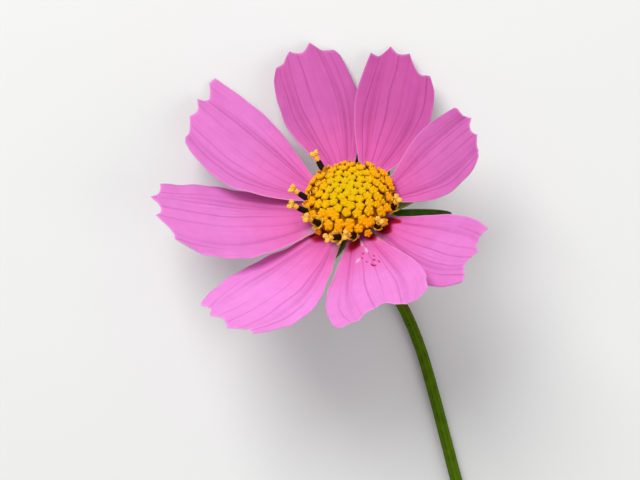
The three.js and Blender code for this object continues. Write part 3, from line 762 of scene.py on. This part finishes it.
def petal_middle(petal, u, v):
    """The petal's middle surface in the head's frame.  Its midrib is an arc that leaves the ring at the
    first rise and ends at the second.  Across it lie the width and the sideways bend, along a line
    that is twisted about the midrib, and square to that the folded cross section."""
    along = v * petal_reach(petal, u)
    start, last = np.radians(petal["rise"])
    slope = start + (last - start) * along
    out = RING_RADIUS + petal["length"] * (np.sin(slope) - np.sin(start)) / (last - start)
    up = petal["length"] * (np.cos(start) - np.cos(slope)) / (last - start)
    azimuth = radians(petal["azimuth"])
    outward = np.array([np.cos(azimuth), np.sin(azimuth), 0])
    sideways = np.array([-np.sin(azimuth), np.cos(azimuth), 0])
    upward = np.array([0, 0, 1.0])
    facing = -np.sin(slope)[..., None] * outward + np.cos(slope)[..., None] * upward
    grown = TWIST_AT_BASE + (1 - TWIST_AT_BASE) * np.clip(along / TWIST_BY, 0, 1)
    twist = (radians(petal["twist"]) * grown)[..., None]
    across = np.cos(twist) * sideways + np.sin(twist) * facing
    normal = np.cos(twist) * facing - np.sin(twist) * sideways
    half = petal["width"] / 2 * petal_spread(v, petal["end"], petal["claw"])
    folded = petal_section(petal, u) * np.clip(along / FOLDS_BY, 0, 1)
    side = u * half + petal["bend"] * along ** 2
    return (out[..., None] * outward + up[..., None] * upward
            + side[..., None] * across + folded[..., None] * normal)


def petal_relief(petal, u, v):
    """How far the tissue stands off the middle surface: grooves of the veins, soft puckers, and a
    margin that ripples, all fading towards the claw."""
    seed = petal["azimuth"] + 5
    chart = stacked(u * petal["width"] / 2, v * petal["length"])
    groove = sum(bump(u, place, 0.03) for place in VEIN_PLACES)
    pucker = waves(chart * (1, 0.55), 5.5, seed)
    side_ripple = np.abs(u) ** 4 * waves(chart[..., 1:], 7, seed + 1)
    end_ripple = v ** 8 * waves(chart[..., :1], 4.5, seed + 2)
    stands = (PUCKER_HEIGHT * pucker + RIPPLE_HEIGHT * (side_ripple + end_ripple)
              - VEIN_DEPTH * groove - FOLD_DEPTH * along_folds(u, 0.05))
    return smooth(v / RELIEF_BY) * stands


def blotched(u, v, marks):
    """The marks on a petal: the sum of a bell round the middle of each, across and along."""
    return sum((bump(u, x, w) * bump(v, y, h) for x, y, w, h in marks), np.zeros_like(u))


PETAL_PAINT = ("u", "v", "tone_and_shade", "edge", "fold_shade", "claw", "spot", "blot", "under")


def petal_paint(petal, u, v, to_edge, under):
    """What the petal's material reads, in the order of PETAL_PAINT: under is 1 on the back, which has
    no spots or blots."""
    # The pale rim along the thin edge, where a highlight is painted.
    edge = bump(to_edge, 0, 0.022)
    # Painted shade along the two long folds, rising from the claw and fading towards the end.
    fold_shade = along_folds(u, 0.055) * smooth(1.25 - v) * smooth(v / 0.15)
    claw = smooth((0.24 - v) / 0.2) * smooth((np.abs(u) - 0.35) / 0.5)
    spot, blot = (
        blotched(u, v, marks) * (1 - under) for marks in (petal["spots"], petal.get("blots", [])))
    return stacked((u + 1) / 2, v, petal["tone_and_shade"], edge, fold_shade, claw, spot, blot, under)


def petal_shell(petal):
    """A petal of thin tissue: the middle surface moved along its normal by the relief and half the
    thickness, which falls to the edge as the root of the distance to it."""
    v, u = leaf_grid(*PETAL_GRID)
    middle = petal_middle(petal, u, v)
    normal = unit(np.cross(np.gradient(middle, axis=0), np.gradient(middle, axis=1)))
    to_edge = np.minimum(1 - np.abs(u), (1 - v) * 2)
    thick = PETAL_EDGE + (PETAL_THICK - PETAL_EDGE) * np.clip(to_edge / THINS_OVER, 0, 1) ** 0.5
    stands = petal_relief(petal, u, v)

    def face(shift, under):
        points = middle + normal * (stands + shift)[..., None]
        paint = petal_paint(petal, u, v, to_edge, under)
        return in_world(np.concatenate([points, paint], -1))[None]
    return bladed(face(thick / 2, 0.0), face(-thick / 2, 1.0))


def build_petals():
    material = petal_material()
    for name, petal in PETALS.items():
        make_piece(f"{name}_blade", petal_shell(petal), PETAL_PAINT, material, [name])


# ---------------------------------------------------------------- disc


def dome_height(radius):
    """Height of the dome at a distance from the axis: an ellipse that is wider than the rim by the lip."""
    span = DISC_RADIUS + DISC_LIP
    return DISC_RIM + (DISC_TOP - DISC_RIM) * np.sqrt(np.clip(1 - (radius / span) ** 2, 0, None))


def core_shell():
    """The receptacle that carries the florets: a foot, a cone out to the rim and a pitted dome."""
    radius = np.linspace(DISC_RADIUS, 0.25, 26)
    radii = np.concatenate([[0.5, DISC_FOOT, DISC_FOOT, DISC_RADIUS - DISC_LIP], radius])[:, None]
    heights = np.concatenate([
        [DISC_SEAT, DISC_SEAT, DISC_FOOT_TOP, DISC_RIM - DISC_LIP], dome_height(radius) - CORE_SUNK])[:, None]
    angle = angles(72)[0]
    pits = CORE_PIT * waves(round_shape(radii, angle, 0)[..., :2], 0.9, 4) * (heights > DISC_RIM)
    share, green = np.clip(radii / DISC_RADIUS, 0, 1), (heights < DISC_RIM).astype(float)
    return lofted(in_world(round_shape(radii, angle, heights + pits, share, green))[None])


def crowded(azimuth, radius, space):
    """Whether an open floret or large bud stands nearer than the space, by the law of cosines."""
    angle, distance = np.concatenate([OPEN_FLORETS[:, :2], LARGE_BUDS[:, :2]]).T
    apart = np.cos(azimuth[:, None] - np.radians(angle))
    square = radius[:, None] ** 2 + distance ** 2 - 2 * radius[:, None] * distance * apart
    return (square < space ** 2).any(1)


def bud_places():
    """Azimuth, distance, lean, size and colour of the closed florets: the golden angle apart, further
    out by a power of their number; a last round of them at the rim; and the single ones."""
    chance = np.random.default_rng(12)
    number = np.arange(BUD_COUNT)
    share = ((number + BUD_FIRST) / BUD_COUNT) ** BUD_CROWDING
    azimuth, radius = number * GOLDEN_ANGLE, BUD_ZONE * share
    zone = np.stack([azimuth, radius, BUD_LEAN * share ** 2,
                     BUD_SMALLEST + (1 - BUD_SMALLEST) * share, BUD_WARMTH * share ** 1.5])
    zone = zone[:, ~crowded(azimuth, radius, BUD_SPACE)]
    round_it, out = RIM_BUD_SCATTER
    azimuth = (np.arange(RIM_BUDS) + chance.uniform(-round_it, round_it, RIM_BUDS)) * TURN / RIM_BUDS
    radius = RIM_BUD_PLACE + chance.uniform(-out, out, RIM_BUDS)
    rim = stacked(azimuth, radius, RIM_BUD_LEAN, RIM_BUD_SIZE, 1.0).T
    rim = rim[:, ~crowded(azimuth, radius, RIM_BUD_SPACE)]
    azimuth, radius, lean, size = np.concatenate([LARGE_BUDS, SMALL_BUDS]).T
    single = stacked(np.radians(azimuth), radius, np.radians(lean), size, SINGLE_WARMTH).T
    return np.concatenate([zone, rim, single], 1)


def bud_shell():
    """Closed florets.  The profile swells from the root to the shoulder and then turns over to a low
    top.  Each is a pentagon with pointed corners, which draws in between them as the sine of two and a
    half times the angle; on the top five ridges run from the corners to the tip."""
    azimuth, radius, lean, size, outer = bud_places()
    size = per_copy(size)
    t, angle = shares(17), angles(40)
    ridge = 1 - np.abs(np.sin(2.5 * angle))
    rising = t / BUD_SHOULDER
    closing = np.clip((t - BUD_SHOULDER) / (1 - BUD_SHOULDER), 0, 1)
    swell = BUD_ROOT_WIDTH + (1 - BUD_ROOT_WIDTH) * smooth(rising)
    profile = np.where(rising < 1, swell, np.cos(pi / 2 * closing ** 1.5) + 0.02)
    drawn_in = (0.1 + 0.1 * smooth(closing * 2)) * (1 - ridge)
    reach = BUD_RADIUS * size * profile * (1 - drawn_in)
    shoulder = BUD_SHOULDER * BUD_HEIGHT
    top = shoulder + 0.45 * BUD_HEIGHT * np.sin(pi / 2 * closing) ** 0.9
    height = np.where(rising < 1, FLORET_ROOT + (shoulder - FLORET_ROOT) * rising, top)
    lift = BUD_RIDGE * ridge ** 1.5 * np.sin(pi * np.minimum(closing, 0.95)) * (closing > 0)
    groove = 0.25 * (1 - ridge) ** 2 * np.sin(pi * closing)
    # Painted shade: darker towards the root and in the grooves of the top, where shade falls between the
    # closed florets.
    shade_and_green = np.clip(smooth((0.66 - t) / 0.36) + groove, 0, 1)
    chance = np.random.default_rng(11)
    outer = outer + chance.normal(0, 0.07, len(outer))
    shape = round_shape(reach, angle, height * size + lift, per_copy(outer), shade_and_green)
    turn = chance.uniform(0, TURN, len(outer))
    lean = lean + chance.normal(0, 0.05, len(outer))
    sway = chance.normal(0, 0.06, len(outer))
    return lofted(in_world(stood(shape, azimuth, radius, dome_height(radius), lean, sway, turn)))


def on_dome(shape, which=slice(None)):
    """Shapes of the open florets, each stood at its place on the dome and moved to the world."""
    azimuth, radius, lean, sway, turn = OPEN_FLORETS[which, :5].T
    return in_world(stood(
        shape, np.radians(azimuth), radius, dome_height(radius), np.radians(lean), np.radians(sway),
        np.radians(turn)))


def column_ends(which=slice(None)):
    """Height of the tube's mouth and of the anther column's top for each open floret."""
    tube, stage = OPEN_FLORETS[which, 5:].T
    return per_copy(tube), per_copy(tube + COLUMN_LENGTH * (1 + 1.2 * stage))


def corolla_shell():
    """Open corollas: a funnel from the root to the mouth, then five fleshy lobes.  A lobe leaves the
    mouth leaning in while the floret is closed and out once it is open, and bends on the same way as
    an arc; its length falls between the lobes as a power of a cosine.  The face goes back down inside."""
    tube, _ = column_ends()
    stage, angle = per_copy(STAGE), angles(60)
    lobe = np.abs(np.cos(2.5 * angle)) ** 0.75

    def grown(closed, opened):
        return closed + (opened - closed) * stage
    mouth, first, bend = tube + grown(*MOUTH_RISE), grown(*LOBE_LEAN), grown(*LOBE_BEND)
    up, over = shares(FUNNEL_RINGS), shares(LOBE_RINGS + 1)[:, 1:]
    down = 1 - 0.75 * shares(BORE_RINGS)
    funnel = (TUBE_FOOT + (TUBE_MOUTH - TUBE_FOOT) * up ** 1.3, FLORET_ROOT + (mouth - FLORET_ROOT) * up)
    slope = first + bend * over
    length = grown(*LOBE_LENGTH) * (0.3 + 0.7 * lobe)
    lobe_r = TUBE_MOUTH + length * (np.cos(first) - np.cos(slope)) / bend
    lobe_z = mouth + length * (np.sin(slope) - np.sin(first)) / bend
    thick = LOBE_THICK * np.sqrt(1.05 - over)
    back = ((lobe_r - thick * np.cos(slope))[:, ::-1], (lobe_z + thick * np.sin(slope))[:, ::-1])
    bore = (0.3 + 0.24 * down ** 1.5, FLORET_ROOT + 0.1 + (mouth - FLORET_ROOT) * down)
    even = 0 * stage + 0 * angle
    r, z = (
        np.concatenate([values + even for values in parts], 1)
        for parts in zip(funnel, (lobe_r, lobe_z), back, bore))

    # Colour and depth of shade of each ring, part by part: funnel, lobe, its face and the bore.
    outer = np.concatenate([
        0.1 + 0.6 * up ** 2, np.full_like(over, 0.95), np.full_like(over, 0.8), np.ones_like(down)], 1)
    outer = np.maximum(outer, 0.8 * ~per_copy(IN_FLOWER))
    shade_and_green = np.concatenate([
        np.zeros_like(up), np.zeros_like(over), smooth(2.8 * shares(LOBE_RINGS) - 2.5),
        0.7 + 0.3 * shares(BORE_RINGS)], 1)
    lumps = 1 + 0.04 * waves(round_shape(r, angle, z), 0.6, 6)
    return lofted(on_dome(round_shape(r * lumps, angle, z, outer, shade_and_green)))


def anther_shell():
    """Anther columns: five-ribbed tubes, a little thicker in the middle, ending in five small points.
    Until its floret is in flower a column is thinner and only just stands out of the mouth."""
    tube, top = column_ends()
    t, angle = shares(14), angles(30)
    rib = np.abs(np.cos(2.5 * angle))
    out = per_copy(IN_FLOWER)
    foot = tube - 0.3
    reach = np.where(out, top + 0.15, tube + 0.35)
    closing = smooth((t - 0.9) / 0.1)
    wide = COLUMN_RADIUS * np.where(out, 1, 0.7)
    r = wide * (0.93 + 0.12 * np.sin(pi * t)) * (1 - 0.09 * rib) * (1 - 0.35 * closing)
    z = foot + (reach - foot) * t + 0.14 * (1 - rib) * closing
    return lofted(on_dome(round_shape(r, angle, z, t)))


def style_arm(s, way):
    """One arm of the forked style: how far it stands aside and above the fork at a share of its
    length, as part of an ellipse from upright to level and a little over; its radius, a bell that ends
    round; and the angle it has bent by."""
    bend = 2.0 * s
    aside = way * (0.1 + ARM_ASIDE * (1 - np.cos(bend)))
    above = ARM_ABOVE * np.sin(bend) ** 0.9
    radius = (ARM_RADIUS + ARM_SWELL * bump(s, 0.75, 0.3)) * np.sqrt(np.clip(1.005 - s ** 9, 0, 1))
    return aside, above, radius, way * bend


def style_shells():
    """Pollen-covered styles: a lumpy neck out of the column, and two fat arms that curve apart from it,
    all roughened by small lumps."""
    _, top = column_ends(IN_FLOWER)
    angle, t, s = angles(24), shares(14), shares(20)
    fork = top + STYLE_NECK - STYLE_FORK
    neck = (NECK_RADIUS + 0.09 * np.sin(2.6 * t)) * np.sqrt(np.clip(1.02 - t ** 8, 0, 1))
    x, y, z = np.moveaxis(round_shape(neck, angle, top - 0.2 + (STYLE_NECK - 0.1) * t), -1, 0)
    apart = per_copy(np.arange(IN_FLOWER.sum())) * 3.7
    rough = 1 + 0.22 * waves(stacked(x, y + apart, z), 0.3, 21)
    # Painted shade where the neck leaves the column.
    necks = stacked(x * rough, y * rough, z, 0.5, smooth(1 - t * 4))
    parts = [lofted(on_dome(necks, IN_FLOWER))]
    for way in (-1, 1):
        aside, above, radius, bend = style_arm(s, way)
        x = radius * np.sin(angle) + 0 * top
        y = aside + radius * np.cos(angle) * np.cos(bend)
        z = fork + above - radius * np.cos(angle) * np.sin(bend)
        lump = 0.11 * waves(stacked(x + apart, y, z), 0.3, 22)
        x, y, z = x * (1 + 2 * lump), y + lump * np.cos(angle), z + 0.8 * lump
        # Painted shade at the fork, and darker also at the arm's very end.
        shade_and_green = 0.6 * smooth((0.25 - s) / 0.2) + smooth((s - 0.97) / 0.02)
        parts.append(lofted(on_dome(stacked(x, y, z, 0.1 + 0.25 * s, shade_and_green), IN_FLOWER)))
    return joined(*parts)


def pollen_shell():
    """Pollen: small six-sided grains, each a short barrel, stuck to the necks and arms of the styles."""
    chance = np.random.default_rng(5)
    host = chance.choice(np.flatnonzero(IN_FLOWER), POLLEN_COUNT)
    _, top = column_ends(host)
    angle, t = angles(6), np.array([-0.7, 0, 0.7])[None, :, None]
    size = per_copy(chance.uniform(*POLLEN_SIZE, POLLEN_COUNT))
    around = per_copy(chance.uniform(0, TURN, POLLEN_COUNT))
    s = per_copy(chance.uniform(0.2, 0.98, POLLEN_COUNT))
    way = per_copy(chance.choice([-1, 1], POLLEN_COUNT))
    aside, above, radius, bend = style_arm(s, way)
    on_neck = per_copy(chance.uniform(0, 1, POLLEN_COUNT)) < 0.3
    neck = NECK_RADIUS + 0.01
    x = np.where(on_neck, neck, radius) * np.sin(around)
    y = np.where(on_neck, neck * np.cos(around), aside + radius * np.cos(around) * np.cos(bend))
    z = top + np.where(on_neck, (STYLE_NECK - 0.5) * s, STYLE_NECK - STYLE_FORK + above
                       - radius * np.cos(around) * np.sin(bend))
    x = x + size * np.sqrt(1 - t ** 2) * np.cos(angle)
    y = y + size * np.sqrt(1 - t ** 2) * np.sin(angle)
    return lofted(on_dome(stacked(x, y, z + size * t, 0.4 + 0.4 * s, 0.0), host))


def bristle_shell():
    """Fine orange chaff tips between the outer florets: tapering hairs that bend outwards as they rise,
    their middle line a parabola, the radius falling as the root of what is left."""
    chance = np.random.default_rng(8)
    number = np.arange(BRISTLE_COUNT)
    azimuth = (number + chance.uniform(-0.4, 0.4, BRISTLE_COUNT)) * TURN / BRISTLE_COUNT
    length = per_copy(chance.uniform(1.0, 2.2, BRISTLE_COUNT))
    curl = per_copy(chance.uniform(0.2, 1.0, BRISTLE_COUNT))
    t, angle = shares(10), angles(6)
    r = BRISTLE_RADIUS * np.sqrt(1.02 - t)
    x = length * curl * t ** 2 / 2 + r * np.cos(angle)
    y = r * np.sin(angle) + 0.15 * np.sin(3 * t + per_copy(azimuth))
    z = length * t * (1 - 0.2 * curl * t)
    lean = chance.uniform(0.35, 0.9, BRISTLE_COUNT)
    radius = DISC_RADIUS - chance.uniform(0.1, 1.0, BRISTLE_COUNT)
    height = dome_height(radius) - 0.3
    return lofted(in_world(stood(stacked(x, y, z, t), azimuth, radius, height, lean)))


def build_disc():
    # The third colour of each is the dark one: painted shade on the florets and styles, the green of the foot
    # on the disc's ground.
    ground, gold, lobes, styles = (floret_material(*look) for look in (
        ("disc_ground", (0.34, 0.13, 0.002), (0.40, 0.13, 0.002), (0.09, 0.1, 0.02), 0.9),
        ("closed_florets", (0.80, 0.57, 0.001), (1.0, 0.45, 0.001), (0.13, 0.022, 0.001), 0.6),
        ("open_corollas", (0.85, 0.62, 0.25), (1.0, 0.50, 0.002), (0.06, 0.008, 0.002), 0.6),
        ("styles_and_pollen", (1.0, 0.68, 0.12), (0.97, 0.48, 0.01), (0.22, 0.06, 0.003), 0.9)))
    bristles = hair_material("chaff_tips", (0.80, 0.26, 0.01), (0.93, 0.45, 0.06), 0.5)
    floret_paint, hair_paint = ("outer", "shade_and_green"), ("tip",)
    for name, shell, paint, material in (
            ("disc_ground", core_shell(), floret_paint, ground),
            ("disc_closed_florets", bud_shell(), floret_paint, gold),
            ("disc_corollas", corolla_shell(), floret_paint, lobes),
            ("disc_anther_columns", anther_shell(), hair_paint, anther_material()),
            ("disc_styles", style_shells(), floret_paint, styles),
            ("disc_pollen", pollen_shell(), floret_paint, styles),
            ("disc_chaff_tips", bristle_shell(), hair_paint, bristles)):
        make_piece(name, shell, paint, material, ["disc"])


# ---------------------------------------------------------------- bracts


def bract_spread(along, base):
    """Half width as a share of the widest: a rising sine, closed by the root of one less the cube."""
    swell = base + (1 - base) * np.sin(pi / 2 * np.minimum(1, along / BRACT_WIDEST))
    return np.maximum(0.03, swell * np.sqrt(np.clip(1 - along ** 3, 0, None)))


def bract_shell(kind, seed):
    """Bracts round the axis: blades that leave the hub level, droop by a parabola and are troughed
    across by another, with a rippled margin; the thickness falls to the edge as a root."""
    v, u = leaf_grid(70, 28)
    number = np.arange(BRACTS)
    azimuth = per_copy(np.radians(kind["turn"] + number * 360 / BRACTS))
    out = BRACT_START + (kind["reach"] - BRACT_START) * v
    spread = bract_spread(v, kind["base"])
    ripple = waves(stacked(out, u + 3.1 * per_copy(number)), 4.2, seed) * v
    side = u * kind["width"] / 2 * spread * (1 + 0.03 * ripple)
    trough = BRACT_TROUGH * kind["width"] * u * u * spread
    ribs = BRACT_RIB * np.cos(u * 3 * pi) * smooth(v / 0.2)
    height = kind["level"] - kind["droop"] * v * v + trough + ribs + BRACT_RIPPLE * ripple
    middle = stacked(
        out * np.cos(azimuth) - side * np.sin(azimuth), out * np.sin(azimuth) + side * np.cos(azimuth),
        height)
    normal = unit(np.cross(np.gradient(middle, axis=1), np.gradient(middle, axis=2)))
    to_edge = np.clip((1 - np.abs(u)) / 0.4, 0, 1) ** 0.5 * np.clip((1 - v) / 0.05, 0.2, 1)
    thick = (BRACT_EDGE + (kind["thick"] - BRACT_EDGE) * to_edge)[..., None]
    paint = stacked((u + 1) / 2 + 0 * azimuth, v, smooth((np.abs(u) - 0.72) / 0.25))

    def face(shift):
        return in_world(np.concatenate([middle + normal * shift, paint], -1))
    return bladed(face(thick / 2), face(-thick / 2))


def hub_shell(kind):
    """The round plate that a ring of bracts grows from, with its edges rolled off."""
    radius, top, bottom = kind["hub"], kind["top"], kind["level"] - HUB_DEPTH
    edge = [(radius - 2 * HUB_ROLL, 0), (radius - HUB_ROLL, HUB_ROLL / 3), (radius, HUB_ROLL)]
    under = [(HUB_BORE, bottom), *((out, bottom + rise) for out, rise in edge)]
    over = [*((out, top - fall) for out, fall in reversed(edge)), (HUB_BORE, top)]
    radii, heights = np.array(under + over).T[..., None]
    angle = angles(64)[0]
    return lofted(in_world(round_shape(radii, angle, heights, angle / TURN * 4 % 1, 0.2, 0.0))[None])


def build_bracts():
    inner = leaf_material(
        "papery_bract", (0.22, 0.30, 0.07), (0.10, 0.15, 0.025), (0.36, 0.40, 0.16), 9.0, 0.7)
    outer = leaf_material(
        "green_bract", (0.07, 0.15, 0.012), (0.02, 0.06, 0.004), (0.30, 0.42, 0.12), 3.0, 0.7)
    paint = ("u", "v", "edge")
    for name, kind, material, seed in (
            ("inner_bracts", INNER_BRACT, inner, 31), ("outer_bracts", OUTER_BRACT, outer, 32)):
        make_piece(f"{name}_blades", bract_shell(kind, seed), paint, material, [name])
        make_piece(f"{name}_hub", hub_shell(kind), paint, material, [name])


# ---------------------------------------------------------------- stem


def stem_line(steps):
    """The stem's middle line in the world: straight down the head's axis, then through its course."""
    axis = HEAD_TURN @ np.array([0, 0, 1.0])
    points = [HEAD_AT + axis * (STEM_TOP - depth) for depth in STEM_START]
    points += [(HEAD_AT[0] + x, HEAD_AT[1] + y, z) for x, y, z in STEM_COURSE]
    return catmull_rom(points, steps)


def stem_radius(share, length):
    """Radius at a share of the length: a straight taper, and a swelling to the receptacle that falls
    off as the square of what is left of it."""
    neck = STEM_NECK_RADIUS + (STEM_CUT_RADIUS - STEM_NECK_RADIUS) * share
    swell = np.clip(1 - length * share / RECEPTACLE_LENGTH, 0, 1) ** 2
    return neck + (STEM_TOP_RADIUS - neck) * swell


def stem_shell():
    """The stem: rings along its line with low ribs, and a cut end drawn in to the pith."""
    steps, sides = 420, 48
    line, length = stem_line(steps)
    share = np.linspace(0, 1, steps + 1)[:, None]
    angle = np.arange(sides) * TURN / sides
    ribs = np.cos(STEM_RIBS * angle) * smooth(share * 20)
    bumps = waves(stacked(share * length, np.cos(angle), np.sin(angle)), 6, 41)
    radius = stem_radius(share, length) * (0.985 + RIB_HEIGHT * ribs + 0.008 * bumps)
    rings = along_path(line, radius, sides)
    sunny = smooth((rings[..., 0] - line[:, None, 0]) / 0.8)
    red = smooth(1 - np.abs(share - RED_AT) / RED_REACH) * sunny
    tube = np.concatenate([rings, stacked(0.5 - 0.5 * ribs, red, 0)], -1)
    ends = []
    for shrink in CUT_RINGS:
        x, y, z = (line[-1] + (rings[-1] - line[-1]) * shrink).T
        ends.append(stacked(x, y, z, 0, 0, smooth((1 - shrink) * 3)))
    return lofted(np.concatenate([tube, np.stack(ends)])[None])


def stem_hair_shell():
    """Short pale hairs scattered over the stem: thin cones, most of which lean towards the head.  Those
    that would reach into the surface it lies on are left out."""
    chance = np.random.default_rng(17)
    steps = 800
    line, length = stem_line(steps)
    at = chance.integers(int(0.05 * steps), steps - 4, STEM_HAIRS)
    ahead = unit(np.gradient(line, axis=0))[at]
    around = chance.uniform(0, TURN, STEM_HAIRS)[:, None]
    across = unit(np.cross(ahead, [0, 0, 1.0]))
    over = np.cross(ahead, across)
    out = across * np.cos(around) + over * np.sin(around)
    radius = stem_radius(at / steps, length)[:, None]
    foot = line[at] + out * (radius - 0.05)
    way = unit(out + ahead * chance.uniform(-0.6, 0.2, STEM_HAIRS)[:, None])
    tall = chance.uniform(0.25, 0.6, STEM_HAIRS)[:, None]
    clear = foot[:, 2] + way[:, 2] * tall[:, 0] > 0.06
    foot, way, tall, ahead = (values[clear, None, None] for values in (foot, way, tall, ahead))
    side = unit(np.cross(way, ahead))
    other = np.cross(way, side)
    t, angle = shares(5)[..., None], angles(5)[..., None]
    ring = (side * np.cos(angle) + other * np.sin(angle)) * HAIR_RADIUS * (1.03 - t)
    points = foot + way * tall * t + ring
    return lofted(np.concatenate([points, np.broadcast_to(t, points.shape[:3] + (1,))], -1))


def build_stem():
    make_piece("stem_skin", stem_shell(), ("rib", "red", "pith"), stem_material(), ["stem"])
    hairs = hair_material("stem_hairs", (0.16, 0.24, 0.03), (0.42, 0.50, 0.14), 0.7)
    make_piece("stem_hairs", stem_hair_shell(), ("tip",), hairs, ["stem"])


# ---------------------------------------------------------------- stage

FLOOR_REACH = 1.5           # these in metres
FLOOR_LEVEL = -0.0001
CAMERA_HEIGHT = 0.32
CAMERA_OFF_HEAD = (-0.0058, -0.0056)
CAMERA_LENS = 94.7          # millimetres of focal length


def build_floor():
    floor_mesh = bpy.data.meshes.new("floor")
    corners = [
        (x * FLOOR_REACH, y * FLOOR_REACH, FLOOR_LEVEL) for x, y in ((-1, -1), (1, -1), (1, 1), (-1, 1))]
    floor_mesh.from_pydata(corners, [], [(0, 1, 2, 3)])
    material, _, _ = new_material(
        "pale_floor", Roughness=0.9, Specular_IOR_Level=0.1, Base_Color=(0.78, 0.78, 0.76, 1))
    floor_mesh.materials.append(material)
    floor = bpy.data.objects.new("floor", floor_mesh)
    bpy.context.scene.collection.objects.link(floor)


def add_lamp(name, at, aim, size, power):
    """A square soft lamp that looks at a point; places in metres, power in watts."""
    lamp = bpy.data.lights.new(name, "AREA")
    lamp.size = size
    lamp.energy = power
    holder = bpy.data.objects.new(name, lamp)
    holder.location = at
    holder.rotation_euler = (Vector(aim) - Vector(at)).to_track_quat("-Z", "Y").to_euler()
    bpy.context.scene.collection.objects.link(holder)


def build_studio():
    head = HEAD_AT * MM
    add_lamp("key", (head[0] - 0.25, head[1] + 0.45, 0.6), head, 0.45, 5.0)
    add_lamp("fill", (head[0] + 0.5, head[1] - 0.3, 0.5), head, 0.6, 1.6)
    world = bpy.data.worlds.new("studio")
    world.use_nodes = True
    sky = world.node_tree.nodes["Background"].inputs
    sky["Color"].default_value = (0.95, 0.97, 1.0, 1)
    sky["Strength"].default_value = 0.45
    bpy.context.scene.world = world
    bpy.context.scene.view_settings.view_transform = "Standard"


def build_camera():
    lens = bpy.data.cameras.new("camera")
    lens.lens = CAMERA_LENS
    lens.sensor_width = 36
    lens.clip_start = 0.01
    camera = bpy.data.objects.new("camera", lens)
    head = HEAD_AT * MM
    camera.location = (head[0] + CAMERA_OFF_HEAD[0], head[1] + CAMERA_OFF_HEAD[1], CAMERA_HEIGHT)
    bpy.context.scene.collection.objects.link(camera)
    bpy.context.scene.camera = camera


# ---------------------------------------------------------------- making

build_petals()
build_disc()
build_bracts()
build_stem()
build_floor()
build_studio()
build_camera()
